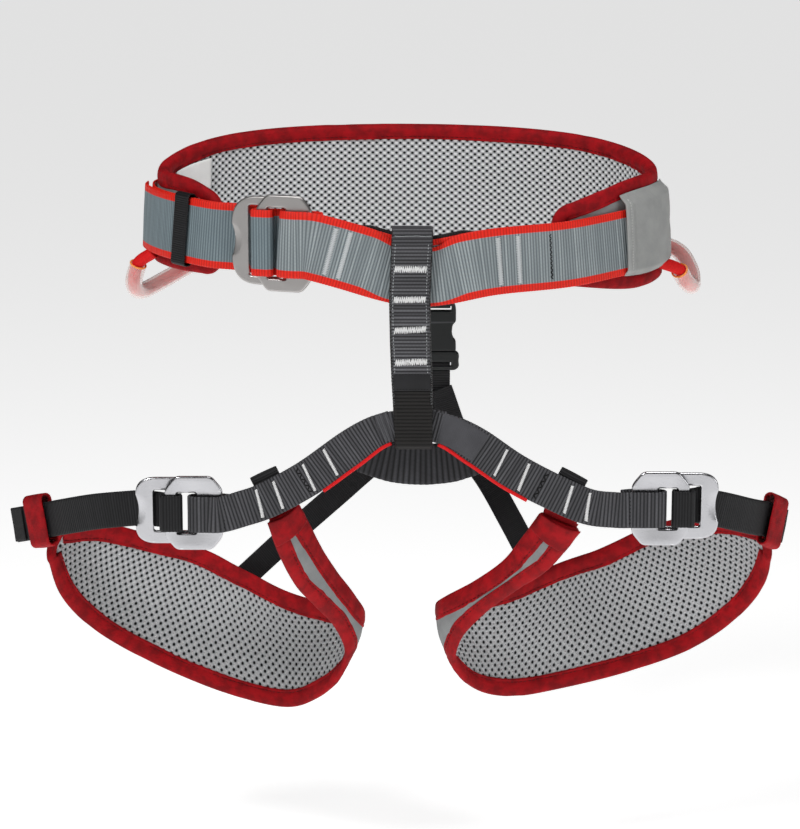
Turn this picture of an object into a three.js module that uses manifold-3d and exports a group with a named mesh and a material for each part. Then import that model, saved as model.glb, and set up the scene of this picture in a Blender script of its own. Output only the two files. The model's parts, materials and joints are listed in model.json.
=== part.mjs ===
// Climbing harness, worn size, in millimetres. +X is the wearer's left as seen from the front,
// -Y is the front, +Z is up, and the origin is the middle of the waist opening.
import * as THREE from 'three';
import { mergeVertices } from 'three/addons/utils/BufferGeometryUtils.js';
import Module from 'manifold-3d';

const wasm = await Module();
wasm.setup();

// Driving dimensions
const GAP = 0.3;                  // between pieces that touch
const SEWN_GAP = 1.6;             // round a panel that curves two ways
const WAIST_HALF_X = 169;         // waist pad, middle of its thickness
const WAIST_HALF_Y = 100;
const WAIST_SHIFT_X = -2.5;
const WAIST_FLARE = 0.06;         // the pad leans out towards its bottom edge
const WAIST_LINING = 5;           // pad layers
const LEG_LINING = 2.6;
const COVER = 1.5;
const BINDING_OVER = 0.6;         // how far the binding stands proud of the panel on each face
const BINDING_WIDTH = 9.5;
const WAIST_WEBBING = 45;
const LEG_WEBBING = 26;
const WEBBING_THICKNESS = 2.2;
const BRIDGE_HALF = 22;           // half the bridge band's length
const LEG_START = 26;             // where the leg webbing takes over
const BELAY_X = 2;
const BELAY_WIDTH = 27.5;
const BELAY_WALL = 3.4;
const RISER_X = 17;
const RISER_Y = 116;

// Waist pad edges: angle round the waist from the middle of the back, top height, bottom height
const WAIST_EDGES = [
  [-133.6, 20, -32],
  [-118, 31, -32],
  [-90, 33, -33],
  [-45, 48, -49],
  [0, 51, -56],
  [45, 47, -54],
  [90, 33, -43],
  [120, 29, -44],
  [146, 14, -36],
];

// Leg pad edges, from the outer end round behind the thigh and up to the front strap
const LEFT_PAD_TOP = [
  [-250, 2, -224], [-219, 28, -228], [-187, 44, -240], [-153, 50, -251],
  [-120, 46, -267], [-91, 34, -279], [-62, 16, -283], [-42, 1, -282], [-35, -14, -278],
  [-41, -28, -263], [-52, -43, -243], [-62, -59, -222], [-70, -72, -201], [-77, -82, -184],
];
const LEFT_PAD_BOTTOM = [
  [-257, 4, -245], [-250, 22, -281], [-226, 40, -313], [-185, 50, -340],
  [-136, 44, -359], [-91, 28, -365], [-66, 14, -353], [-52, 1, -335], [-47, -13, -311],
  [-54, -27, -288], [-67, -41, -269], [-80, -55, -250], [-91, -70, -223], [-98, -80, -198],
];
const RIGHT_PAD_TOP = [
  [248, 1, -223], [223, 28, -223], [194, 44, -228], [166, 50, -238],
  [137, 46, -251], [107, 32, -258], [72, 17, -269], [38, 4, -274], [20, -13, -274],
  [26, -31, -264], [46, -44, -249], [64, -55, -232], [76, -66, -213], [88, -80, -191],
];
const RIGHT_PAD_BOTTOM = [
  [254, 4, -245], [253, 22, -272], [237, 40, -301], [206, 50, -327],
  [159, 44, -343], [108, 28, -351], [72, 16, -353], [46, 5, -344], [32, -11, -322],
  [36, -28, -296], [53, -40, -273], [74, -50, -254], [95, -62, -236], [116, -80, -204],
];

// Colours and finishes
const finish = (color, roughness, metalness = 0) => ({ color, roughness, metalness });
const MESH_GREY = finish(0xa9acae, 0.95);
const COVER_GREY = finish(0x85878a, 0.9);
const CRIMSON = finish(0xa00d1a, 0.85);
const SLATE = finish(0x74828a, 0.8);
const CHARCOAL = finish(0x3f4043, 0.85);
const BLACK = finish(0x151517, 0.8);
const ALUMINIUM = finish(0xb9bbbd, 0.35, 0.9);
const PLASTIC = finish(0x101012, 0.5);
const TUBE = finish(0xf2dfd6, 0.3);
const CORD = finish(0xd9281c, 0.8);
const LABEL = finish(0xe8e8e4, 0.9);

const harness = new THREE.Group();

function add(name, geometry, look, group = harness) {
  geometry.deleteAttribute('uv');
  geometry.deleteAttribute('normal');
  const mesh = new THREE.Mesh(mergeVertices(geometry, 1e-4), new THREE.MeshStandardMaterial(look));
  mesh.name = name;
  group.add(mesh);
  return mesh;
}

const spot = (x, y, z) => new THREE.Vector3(x, y, z);
const curveThrough = (points) => new THREE.CatmullRomCurve3(
  points.map((point) => spot(...point)), false, 'catmullrom', 0.5);

// ---------- sheets: surfaces with a thickness ----------

// The unit vector out of a surface at (u, w); side turns it round where the surface runs the other way
function outOf(surface, u, w, side) {
  const step = 1e-3;
  const alongU = surface(u + step, w).sub(surface(u - step, w));
  const alongW = surface(u, w + step).sub(surface(u, w - step));
  return alongU.cross(alongW).normalize().multiplyScalar(side);
}

// A closed sheet between two distances out of a surface. place turns a grid spot into its (u, w).
function sheet(surface, side, [inner, outer], along, across, place) {
  const geometry = new THREE.BoxGeometry(1, 1, 1, along, across, 1);
  const spots = geometry.attributes.position;
  for (let i = 0; i < spots.count; i += 1) {
    const [u, w] = place(spots.getX(i) + 0.5, spots.getY(i) + 0.5);
    const onOuter = (spots.getZ(i) > 0) === (side > 0);
    const reach = outOf(surface, u, w, side).multiplyScalar(onOuter ? outer : inner);
    spots.setXYZ(i, ...surface(u, w).add(reach).toArray());
  }
  return geometry;
}

// The pad's flat panel, inside its binding
const panelPlace = (width, length) => (x, y) => {
  const endInset = (BINDING_WIDTH + SEWN_GAP) / length;
  const u = THREE.MathUtils.clamp(x, endInset, 1 - endInset);
  const edgeInset = (BINDING_WIDTH + SEWN_GAP) / width(u);
  return [u, edgeInset + y * (1 - 2 * edgeInset)];
};

// The binding: one tape round all four edges, with its two ends a hair apart at a top corner
function bindingPlace(width, length, longSteps, endSteps) {
  const stops = [0, longSteps, longSteps + endSteps, 2 * longSteps + endSteps, 2 * (longSteps + endSteps)];
  const total = stops[4];
  const seam = 0.03;
  const place = (x, y) => {
    const step = Math.min(Math.round(x * total), total);
    const leg = stops.findIndex((stop, i) => step >= stop && step < stops[i + 1]);
    const part = leg < 0 ? 1 - seam : (step - stops[leg]) / (stops[leg + 1] - stops[leg]);
    const [u, w] = [[part, 0], [1, part], [1 - part, 1], [0, 1 - part]][leg < 0 ? 3 : leg];
    const endInset = y * BINDING_WIDTH / length;
    const inset = THREE.MathUtils.clamp(u, endInset, 1 - endInset);
    const edgeInset = y * BINDING_WIDTH / width(inset);
    return [inset, THREE.MathUtils.clamp(w, edgeInset, 1 - edgeInset)];
  };
  return { place, total };
}

function addPad(prefix, surface, side, lining, longSteps) {
  const width = (u) => surface(u, 0).distanceTo(surface(u, 1));
  let length = 0;
  for (let i = 0; i < longSteps; i += 1) {
    length += surface(i / longSteps, 0.5).distanceTo(surface((i + 1) / longSteps, 0.5));
  }
  const panel = panelPlace(width, length);
  add(`${prefix}lining`, sheet(surface, side, [-lining - GAP, -GAP], longSteps, 2, panel), MESH_GREY);
  add(`${prefix}cover`, sheet(surface, side, [GAP, COVER + GAP], longSteps, 2, panel), COVER_GREY);
  const { place, total } = bindingPlace(width, length, longSteps, 2);
  const bindingBody = [-lining - BINDING_OVER, COVER + BINDING_OVER];
  add(`${prefix}binding`, sheet(surface, side, bindingBody, total, 1, place), CRIMSON);
}

// A spot on the waist's oval: angle from the middle of the back, height, and distance out of the pad
function waistSpot(degrees, height, lift = 0) {
  const angle = THREE.MathUtils.degToRad(degrees);
  const lean = (30 - height) * WAIST_FLARE + lift;
  const x = WAIST_SHIFT_X + (WAIST_HALF_X + lean) * Math.sin(angle);
  return spot(x, (WAIST_HALF_Y + lean) * Math.cos(angle), height);
}

const waistEdges = curveThrough(WAIST_EDGES);
function waistSurface(u, w) {
  const edge = waistEdges.getPoint(THREE.MathUtils.clamp(u, 0, 1));
  const over = (u - THREE.MathUtils.clamp(u, 0, 1)) * 278;
  return waistSpot(edge.x + over, THREE.MathUtils.lerp(edge.y, edge.z, w));
}

// A leg pad spans its two edge curves and bulges a little away from the thigh
const LEG_BULGE = 4;
function legSurface(top, bottom, side) {
  const topEdge = curveThrough(top);
  const bottomEdge = curveThrough(bottom);
  const flat = (u, w) => {
    const part = THREE.MathUtils.clamp(u, 0, 1);
    return topEdge.getPoint(part).lerp(bottomEdge.getPoint(part), w);
  };
  return (u, w) => flat(u, w).add(outOf(flat, u, 0.5, side).multiplyScalar(LEG_BULGE * 4 * w * (1 - w)));
}

// ---------- routes: webbing, straps and collars along a line ----------

// A route stands on edge like a belt, leaning as far as asked; one with an out direction lies flat against it
function makeRoute(points, { out = null, lean = 0 } = {}) {
  const curve = curveThrough(points);
  const length = curve.getLength();
  const frame = (distance) => {
    const part = THREE.MathUtils.clamp(distance / length, 0, 1);
    const point = curve.getPointAt(part);
    const along = curve.getTangentAt(part);
    const guide = out ? spot(...out) : spot(0, 0, 1).addScaledVector(spot(0, 0, 1).cross(along), -lean);
    guide.addScaledVector(along, -guide.dot(along)).normalize();
    const outward = out ? guide : guide.clone().cross(along);
    const up = out ? along.clone().cross(guide) : guide;
    return { point, along, outward, up };
  };
  return { length, frame };
}

// Bends a straight piece, drawn with x outward, y up and z along, so that it follows a route
function bend(geometry, route) {
  const spots = geometry.attributes.position;
  for (let i = 0; i < spots.count; i += 1) {
    const { point, outward, up } = route.frame(spots.getZ(i));
    point.addScaledVector(outward, spots.getX(i)).addScaledVector(up, spots.getY(i));
    spots.setXYZ(i, ...point.toArray());
  }
  return geometry;
}

function band(route, start, end, width, [inner, outer], steps, rise = () => 0) {
  const geometry = new THREE.BoxGeometry(outer - inner, 1, end - start, 1, 1, steps);
  geometry.translate((outer + inner) / 2, 0, (start + end) / 2);
  const spots = geometry.attributes.position;
  for (let i = 0; i < spots.count; i += 1) {
    const z = spots.getZ(i);
    const wide = typeof width === 'function' ? width(z) : width;
    spots.setY(i, spots.getY(i) * wide + rise(z));
  }
  return bend(geometry, route);
}

// A rectangle with a rectangular hole, as an outline to extrude
function frameShape([left, right], [low, high], wall) {
  const outline = (inset) => [
    new THREE.Vector2(left + inset, low + inset),
    new THREE.Vector2(right - inset, low + inset),
    new THREE.Vector2(right - inset, high - inset),
    new THREE.Vector2(left + inset, high - inset),
  ];
  const shape = new THREE.Shape(outline(0));
  shape.holes.push(new THREE.Path(outline(wall).reverse()));
  return shape;
}

const plain = (depth, steps = 1) => ({ depth, steps, bevelEnabled: false, curveSegments: 6 });

// A fabric collar round a strap
function collar(route, start, length, [inner, outer], [low, high], wall, steps = 2) {
  const geometry = new THREE.ExtrudeGeometry(frameShape([inner, outer], [low, high], wall), plain(length, steps));
  geometry.translate(0, 0, start);
  return bend(geometry, route);
}

// ---------- waist belt ----------

addPad('waist_', waistSurface, 1, WAIST_LINING, 28);

const labelPlace = (x, y) => [0.283 + 0.058 * x, 0.13 + 0.23 * y];
add('care_label', sheet(waistSurface, 1, [-WAIST_LINING - 2.2, -WAIST_LINING - 1.6], 4, 1, labelPlace), LABEL);

const waistRoute = makeRoute([
  waistSpot(86, -6, 5.2).toArray(), waistSpot(103, -8, 5.2).toArray(), waistSpot(124, -12, 5.6).toArray(),
  [104, -88, -15], [52, -107.5, -17.5], [20, -110.4, -23], [2, -111, -24], [-16, -111.6, -20.5],
  [-40, -112.6, -13.5], [-58.6, -112.9, -7.4],
], { lean: WAIST_FLARE });
const HALF_WEBBING = WEBBING_THICKNESS / 2;
const webbingBody = [-HALF_WEBBING, HALF_WEBBING];
const waistEnd = waistRoute.length;
add('waist_webbing', band(waistRoute, 0, waistEnd, WAIST_WEBBING - 1, webbingBody, 26), SLATE);
// The tie-in backing sits a little high behind the webbing
const backingRise = () => 1.4;
add('tie_in_backing',
  band(waistRoute, waistEnd - 162, waistEnd - 12, WAIST_WEBBING - 4, [-4, -2.2], 16, backingRise), BLACK);

const sleevePlace = (x, y) => [0.765 + 0.132 * x, 0.1 + 0.77 * y];
add('webbing_sleeve', sheet(waistSurface, 1, [8.2, 9.4], 6, 1, sleevePlace), COVER_GREY);

const strapRoute = makeRoute([
  [-98, -81.2, -6], [-117, -74.8, -5], waistSpot(-132, -4, 5.4).toArray(), waistSpot(-118, -2, 5.4).toArray(),
  waistSpot(-103, -1, 5).toArray(), waistSpot(-90, 0, 5).toArray(), waistSpot(-80, 0, 5).toArray(),
], { lean: WAIST_FLARE });
add('waist_strap', band(strapRoute, 0, strapRoute.length, WAIST_WEBBING - 1, [-0.8, 0.8], 12), SLATE);
// The tail stands off in a bow past the keeper
const tailRoute = makeRoute([
  [-98, -83.9, -6], [-117, -77.4, -5], waistSpot(-132, -4, 7.8).toArray(), waistSpot(-118, -2, 7.8).toArray(),
  waistSpot(-107, -1, 8.4).toArray(), waistSpot(-96, 0, 10).toArray(), waistSpot(-88, 0, 9.5).toArray(),
], { lean: WAIST_FLARE });
add('waist_tail', band(tailRoute, 0, tailRoute.length, WAIST_WEBBING - 1, [-0.8, 0.8], 12), SLATE);
const KEEPER_START = 54;
add('waist_keeper', collar(strapRoute, KEEPER_START, 13, [-2.1, 5.2], [-24.5, 24.5], 0.9), BLACK);

// ---------- two-plate buckles ----------

const PLATE = 3;
const BEVEL = 0.8;
const PLATE_WIDTH = 39;           // front plate, free edge at x = 0
const FREE_BAR = 8;
const FIXED_BAR = 21;
const REAR_LEFT = -20.5;
const REAR_RIGHT = 29.5;
const REAR_DEPTH = -8;

function plateGeometry(shape, depthAt) {
  const geometry = new THREE.ExtrudeGeometry(shape, {
    depth: PLATE - 2 * BEVEL, bevelEnabled: true, bevelThickness: BEVEL, bevelSize: BEVEL,
    bevelOffset: -BEVEL, bevelSegments: 2, curveSegments: 6,
  });
  geometry.translate(0, 0, depthAt - PLATE / 2 + BEVEL);
  return geometry;
}

const windowPath = (x0, x1, half, hand) => new THREE.Path([
  new THREE.Vector2(hand * x0, -half), new THREE.Vector2(hand * x0, half),
  new THREE.Vector2(hand * x1, half), new THREE.Vector2(hand * x1, -half),
]);

// Front plate: an oblong with cut corners and one window
function frontPlate(height, webbing, hand) {
  const half = height / 2;
  const shoulder = half - 10;
  const outline = [
    [0, -shoulder], [1.6, -shoulder - 3], [6.4, -half + 1.2], [9, -half], [30, -half], [32.6, -half + 1.2],
    [37.4, -shoulder - 3], [39, -shoulder],
  ];
  const mirrored = outline.map(([x, y]) => [x, -y]).reverse();
  const shape = new THREE.Shape([...outline, ...mirrored].map(([x, y]) => new THREE.Vector2(hand * x, y)));
  shape.holes.push(windowPath(FREE_BAR, FIXED_BAR, webbing / 2 + 1, hand));
  return plateGeometry(shape, 0);
}

// Rear plate: a rounded D with a thumb notch in its free edge
function rearPlate(height, webbing, hand) {
  const half = height / 2;
  const corner = half * 0.62;
  const notch = 8;
  const shape = new THREE.Shape();
  shape.moveTo(hand * (REAR_RIGHT - 5), -half);
  shape.quadraticCurveTo(hand * REAR_RIGHT, -half, hand * REAR_RIGHT, -half + 5);
  shape.lineTo(hand * REAR_RIGHT, half - 5);
  shape.quadraticCurveTo(hand * REAR_RIGHT, half, hand * (REAR_RIGHT - 5), half);
  shape.lineTo(hand * (REAR_LEFT + corner), half);
  shape.quadraticCurveTo(hand * REAR_LEFT, half, hand * REAR_LEFT, notch + 3);
  shape.quadraticCurveTo(hand * (REAR_LEFT + 4), 0, hand * REAR_LEFT, -notch - 3);
  shape.quadraticCurveTo(hand * REAR_LEFT, -half, hand * (REAR_LEFT + corner), -half);
  shape.holes.push(windowPath(-8, 20, webbing / 2 + 1, hand));
  return plateGeometry(shape, REAR_DEPTH);
}

// A turn of strap round a bar: an oval ring as wide as the webbing
function strapTurn([left, right], reach, wall, webbing, hand) {
  const oval = (inset, Kind) => {
    const radius = reach - inset;
    const path = new Kind();
    const [x0, x1] = [Math.min(hand * left, hand * right), Math.max(hand * left, hand * right)];
    path.absarc(x1 - reach, 0, radius, -Math.PI / 2, Math.PI / 2, false);
    path.absarc(x0 + reach, 0, radius, Math.PI / 2, Math.PI * 1.5, false);
    path.closePath();
    return path;
  };
  const shape = oval(0, THREE.Shape);
  shape.holes.push(oval(wall, THREE.Path));
  const geometry = new THREE.ExtrudeGeometry(shape, plain(webbing));
  geometry.translate(0, 0, -webbing / 2);
  geometry.rotateX(Math.PI / 2);
  return geometry;
}

// hand is 1 where the fixed webbing is on the +X side. turn yaws the whole buckle.
function addBuckle(names, origin, turn, hand, sizes) {
  const buckle = new THREE.Group();
  buckle.position.set(...origin);
  // local x runs along the webbing, y is up and z is out of the front
  const basis = new THREE.Matrix4().makeBasis(
    spot(Math.cos(turn), Math.sin(turn), 0), spot(0, 0, 1), spot(Math.sin(turn), -Math.cos(turn), 0));
  buckle.quaternion.setFromRotationMatrix(basis);
  harness.add(buckle);
  const { webbing, rearHeight, frontHeight, look } = sizes;
  add(names.rear, rearPlate(rearHeight, webbing, hand), ALUMINIUM, buckle);
  add(names.front, frontPlate(frontHeight, webbing, hand), ALUMINIUM, buckle);
  add(names.roll, strapTurn([-4, 12.2], 4.4, 2, webbing - 1, hand), look, buckle);
  add(names.anchor, strapTurn([15.9, PLATE_WIDTH + 5.2], 5.5, 2, webbing - 1, hand), look, buckle);
}

const WAIST_BUCKLE = [-102, -95, -6];
const WAIST_TURN = THREE.MathUtils.degToRad(-19);
addBuckle(
  { rear: 'waist_buckle_rear', front: 'waist_buckle_front', roll: 'waist_strap_roll', anchor: 'waist_anchor_loop' },
  WAIST_BUCKLE, WAIST_TURN, 1, { webbing: WAIST_WEBBING, rearHeight: 59, frontHeight: 64, look: SLATE });

// ---------- belay loop and bridge ----------

const BELAY_TOP = 5.6;
const BELAY_BOTTOM = -141.5;
const BELAY_FRONT = -118;
const BELAY_BACK = -101.8;
function belayShape(inset) {
  const radius = (BELAY_BACK - BELAY_FRONT) / 2;
  const middle = (BELAY_BACK + BELAY_FRONT) / 2;
  // the ends are squarer than a half circle, because the loop is folded webbing
  const corner = radius * 0.55;
  const Kind = inset > 0 ? THREE.Path : THREE.Shape;
  const path = new Kind();
  const x0 = middle - radius + inset;
  const x1 = middle + radius - inset;
  const y0 = BELAY_BOTTOM + inset;
  const y1 = BELAY_TOP - inset;
  const r = corner - inset * 0.6;
  path.moveTo(x0 + r, y0);
  path.lineTo(x1 - r, y0);
  path.absarc(x1 - r, y0 + r, r, -Math.PI / 2, 0, false);
  path.absarc(x1 - r, y1 - r, r, 0, Math.PI / 2, false);
  path.absarc(x0 + r, y1 - r, r, Math.PI / 2, Math.PI, false);
  path.absarc(x0 + r, y0 + r, r, Math.PI, Math.PI * 1.5, false);
  return path;
}
const belayOutline = belayShape(0);
belayOutline.holes.push(belayShape(BELAY_WALL));
const belayLoop = new THREE.ExtrudeGeometry(belayOutline, plain(BELAY_WIDTH));
belayLoop.translate(0, 0, -BELAY_WIDTH / 2);
// the outline's x becomes +Y and its y becomes +Z
belayLoop.applyMatrix4(new THREE.Matrix4().makeBasis(spot(0, 1, 0), spot(0, 0, 1), spot(1, 0, 0)));
belayLoop.translate(BELAY_X, 0, 0);
add('belay_loop', belayLoop, CHARCOAL);
const belayLabel = new THREE.BoxGeometry(BELAY_WIDTH - 2, 0.7, 12);
belayLabel.translate(BELAY_X, BELAY_FRONT - 0.35 - GAP, -95);
add('belay_label', belayLabel, BLACK);

const bridgeRoute = makeRoute([
  [BRIDGE_HALF, -109, -126.5], [10, -109.8, -124.5], [-10, -109.8, -125.5], [-BRIDGE_HALF, -108.8, -129],
]);
add('bridge_band', band(bridgeRoute, 0, bridgeRoute.length, 20, webbingBody, 6), CHARCOAL);
const rearRoute = makeRoute([
  [52, -88, -150], [30, -90.5, -155], [9, -91.5, -156.5], [-14, -92.5, -155], [-34, -94, -150],
]);
const rearWidth = (z) => 22 + 7 * Math.sin(Math.PI * THREE.MathUtils.clamp(z / rearRoute.length, 0, 1));
add('bridge_rear', band(rearRoute, 0, rearRoute.length, rearWidth, [-1.2, 1.2], 8), BLACK);

// ---------- rear riser ----------

function asSolid(geometry) {
  geometry.deleteAttribute('uv');
  geometry.deleteAttribute('normal');
  const merged = mergeVertices(geometry, 1e-4);
  return new wasm.Manifold(new wasm.Mesh({
    numProp: 3,
    vertProperties: new Float32Array(merged.attributes.position.array),
    triVerts: new Uint32Array(merged.index.array),
  }));
}

function asGeometry(solid) {
  const { vertProperties, triVerts } = solid.getMesh();
  const geometry = new THREE.BufferGeometry();
  geometry.setAttribute('position', new THREE.BufferAttribute(vertProperties, 3));
  geometry.setIndex(new THREE.BufferAttribute(triVerts, 1));
  return geometry;
}

const block = (width, depth, height, x, y, z) => new THREE.BoxGeometry(width, depth, height).translate(x, y, z);

const riserRoute = makeRoute([
  [RISER_X, 108.5, -30], [RISER_X, 110.5, -52], [RISER_X, RISER_Y + 5.6, -74], [RISER_X, RISER_Y + 4, -77.5],
], { out: [0, 1, 0] });
add('riser_strap', band(riserRoute, 0, riserRoute.length, 25, [-0.8, 0.8], 6), BLACK);

// Receiver: a flat box, open below, with a strap bar on top and a window in each side
const RECEIVER_TOP = -81;
const RECEIVER_BOTTOM = -118;
const RECEIVER_WIDTH = 33;
const receiverMiddle = (RECEIVER_TOP + RECEIVER_BOTTOM) / 2;
const receiverBox = asSolid(block(RECEIVER_WIDTH, 10, RECEIVER_TOP - RECEIVER_BOTTOM, RISER_X, RISER_Y, receiverMiddle));
const cavity = asSolid(block(28, 6, 28, RISER_X, RISER_Y, RECEIVER_BOTTOM + 13));
const sideWindows = asSolid(block(RECEIVER_WIDTH + 2, 5, 12, RISER_X, RISER_Y, RECEIVER_BOTTOM + 15));
const barSlot = asSolid(block(26.5, 12, 4, RISER_X, RISER_Y, RECEIVER_TOP - 5.4));
add('riser_receiver', asGeometry(receiverBox.subtract(cavity).subtract(sideWindows).subtract(barSlot)), PLASTIC);
// the strap's sewn eye round the receiver's top bar
const receiverEye = new THREE.ExtrudeGeometry(frameShape([-6.4, 6.4], [-3.2, 3.2], 1.1), plain(25));
receiverEye.applyMatrix4(new THREE.Matrix4().makeBasis(spot(0, 1, 0), spot(0, 0, 1), spot(1, 0, 0)));
receiverEye.translate(RISER_X - 12.5, RISER_Y, RECEIVER_TOP - 1.8);
add('riser_strap_eye', receiverEye, BLACK);

const PLUG_TOP = RECEIVER_BOTTOM - GAP * 2;
const plugBase = asSolid(block(38, 9, 14, RISER_X, RISER_Y, PLUG_TOP - 7));
const tongue = asSolid(block(5, 4, 20, RISER_X, RISER_Y, PLUG_TOP + 9));
add('riser_plug', asGeometry(plugBase.add(tongue)), PLASTIC);
for (const [name, way] of [['riser_prong_left', -1], ['riser_prong_right', 1]]) {
  const outline = [[8, 0.5], [12, 0.5], [12, 9], [13.6, 12], [12, 19], [9.5, 19], [8, 8]];
  const prong = new THREE.ExtrudeGeometry(
    new THREE.Shape(outline.map(([x, y]) => new THREE.Vector2(way * x, y))), plain(4));
  prong.translate(0, 0, -2);
  prong.applyMatrix4(new THREE.Matrix4().makeBasis(spot(1, 0, 0), spot(0, 0, 1), spot(0, -1, 0)));
  prong.translate(RISER_X, RISER_Y, PLUG_TOP);
  add(name, prong, PLASTIC);
}
const TAB_TOP = PLUG_TOP - 14 - GAP;
add('riser_tab', block(25, 4, 30, RISER_X, RISER_Y, TAB_TOP - 15), BLACK);
const elasticRoutes = {
  elastic_left: [[RISER_X - 6, 112.6, -150], [-8, 108, -181], [-45, 95, -214], [-81, 76, -242], [-122, 55, -276]],
  elastic_right: [[RISER_X + 5, 110.2, -150], [36, 108, -183], [57, 92, -211], [72, 70, -234], [84, 50, -253]],
};
for (const [name, points] of Object.entries(elasticRoutes)) {
  const route = makeRoute(points, { out: [0, 1, 0] });
  add(name, band(route, 0, route.length, 18, [-0.7, 0.7], 10), BLACK);
}

// ---------- gear loops ----------

const gearRoutes = {
  left: [[-187, -16, -32], [-191, -11, -44], [-191, 2, -53], [-187, 20, -57], [-176, 42, -54], [-154, 64, -44]],
  right: [[184, -14, -37], [190, -4, -47], [196, 12, -52], [196, 32, -43], [186, 50, -32], [154, 66, -27]],
};
const GEAR_TUBE = 5.9;
const GEAR_BORE = 4.8;
const GEAR_CORD = 4.2;
for (const [side, points] of Object.entries(gearRoutes)) {
  const path = curveThrough(points);
  const ring = new THREE.Shape().absarc(0, 0, GEAR_TUBE, 0, Math.PI * 2, false);
  ring.holes.push(new THREE.Path().absarc(0, 0, GEAR_BORE, 0, Math.PI * 2, true));
  const tube = new THREE.ExtrudeGeometry(ring, { steps: 14, curveSegments: 5, extrudePath: path });
  add(`gear_tube_${side}`, tube, TUBE);
  const disc = new THREE.Shape().absarc(0, 0, GEAR_CORD, 0, Math.PI * 2, false);
  add(`gear_cord_${side}`, new THREE.ExtrudeGeometry(disc, { steps: 14, curveSegments: 5, extrudePath: path }), CORD);
}

// ---------- legs ----------

// Routes run towards -X across the front, so that their outer side faces forward
const legs = [
  {
    side: 'left', hand: 1, padTop: LEFT_PAD_TOP, padBottom: LEFT_PAD_BOTTOM, buckle: [-166, -88, -191],
    front: [
      [-LEG_START, -107.8, -132], [-44, -103.5, -145], [-70, -98, -165], [-97, -93.5, -180.5], [-118.9, -91.65, -188.05],
    ],
    side_strap: [
      [-160, -76, -191], [-186, -75, -191], [-212, -67, -195], [-236, -49, -203], [-254, -28, -211], [-268, -12, -217],
      [-279, 2, -222],
    ],
    collarAt: 112, keeperAt: 72,
  },
  {
    side: 'right', hand: -1, padTop: RIGHT_PAD_TOP, padBottom: RIGHT_PAD_BOTTOM, buckle: [187, -88, -188],
    front: [
      [141.4, -91.5, -187.5], [117, -93, -186], [89, -94.5, -172], [67, -98, -159], [45, -104, -141],
      [LEG_START, -108, -128.5],
    ],
    side_strap: [
      [262, -2, -222], [250, -20, -213], [234, -42, -205], [214, -61, -196], [196, -71, -190], [181, -75, -188],
    ],
    collarAt: 10, keeperAt: 32,
  },
];

for (const leg of legs) {
  const prefix = `${leg.side}_`;
  addPad(`${prefix}pad_`, legSurface(leg.padTop, leg.padBottom, leg.hand), leg.hand, LEG_LINING, 36);
  addBuckle(
    {
      rear: `${prefix}buckle_rear`, front: `${prefix}buckle_front`,
      roll: `${prefix}strap_roll`, anchor: `${prefix}anchor_loop`,
    },
    leg.buckle, 0, leg.hand, { webbing: LEG_WEBBING, rearHeight: 46, frontHeight: 51, look: CHARCOAL });
  const front = makeRoute(leg.front);
  const narrow = (z) => {
    const fromBridge = leg.hand > 0 ? z : front.length - z;
    return 21 + (LEG_WEBBING - 22) * THREE.MathUtils.smoothstep(fromBridge, 0, 24);
  };
  add(`${prefix}front_webbing`, band(front, 0, front.length, narrow, webbingBody, 12), CHARCOAL);
  add(`${prefix}keeper`, collar(front, leg.keeperAt, 20, [-2.4, 2.4], [-14.2, 19], 0.9), CHARCOAL);
  const strap = makeRoute(leg.side_strap);
  add(`${prefix}side_webbing`, band(strap, 0, strap.length, LEG_WEBBING - 1, webbingBody, 14), BLACK);
  add(`${prefix}end_loop`, collar(strap, leg.collarAt, 16, [-3, 3], [-17, 17], 1.4, 3), CRIMSON);
}

export default harness;
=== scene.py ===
import json
import math

import bmesh
import bpy
import numpy as np
from mathutils import Matrix, Vector

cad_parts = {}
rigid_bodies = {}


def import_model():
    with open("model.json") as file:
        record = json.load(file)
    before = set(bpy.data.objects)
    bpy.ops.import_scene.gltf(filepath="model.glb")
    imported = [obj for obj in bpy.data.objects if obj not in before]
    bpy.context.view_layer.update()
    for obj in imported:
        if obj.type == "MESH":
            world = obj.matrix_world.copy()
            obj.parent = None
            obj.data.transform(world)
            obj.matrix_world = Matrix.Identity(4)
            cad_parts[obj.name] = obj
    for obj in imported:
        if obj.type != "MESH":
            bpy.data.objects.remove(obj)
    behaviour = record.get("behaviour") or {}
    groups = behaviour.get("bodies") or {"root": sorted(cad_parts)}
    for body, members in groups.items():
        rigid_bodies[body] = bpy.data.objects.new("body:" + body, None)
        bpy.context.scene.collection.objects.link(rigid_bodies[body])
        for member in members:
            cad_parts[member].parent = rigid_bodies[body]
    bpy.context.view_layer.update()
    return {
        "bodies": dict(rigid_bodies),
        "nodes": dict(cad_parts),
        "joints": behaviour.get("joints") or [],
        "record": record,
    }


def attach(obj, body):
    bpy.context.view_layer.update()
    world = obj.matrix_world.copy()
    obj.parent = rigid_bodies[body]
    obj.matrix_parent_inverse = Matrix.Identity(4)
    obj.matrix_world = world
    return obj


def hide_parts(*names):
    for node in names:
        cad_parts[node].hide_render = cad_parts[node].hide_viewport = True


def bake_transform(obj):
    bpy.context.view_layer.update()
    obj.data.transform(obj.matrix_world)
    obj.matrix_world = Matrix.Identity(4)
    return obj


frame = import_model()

# Lengths below are in millimetres, in the CAD frame, and become metres where a mesh is made. The camera, the
# lights and the floor are in metres.
MM = 0.001

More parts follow.
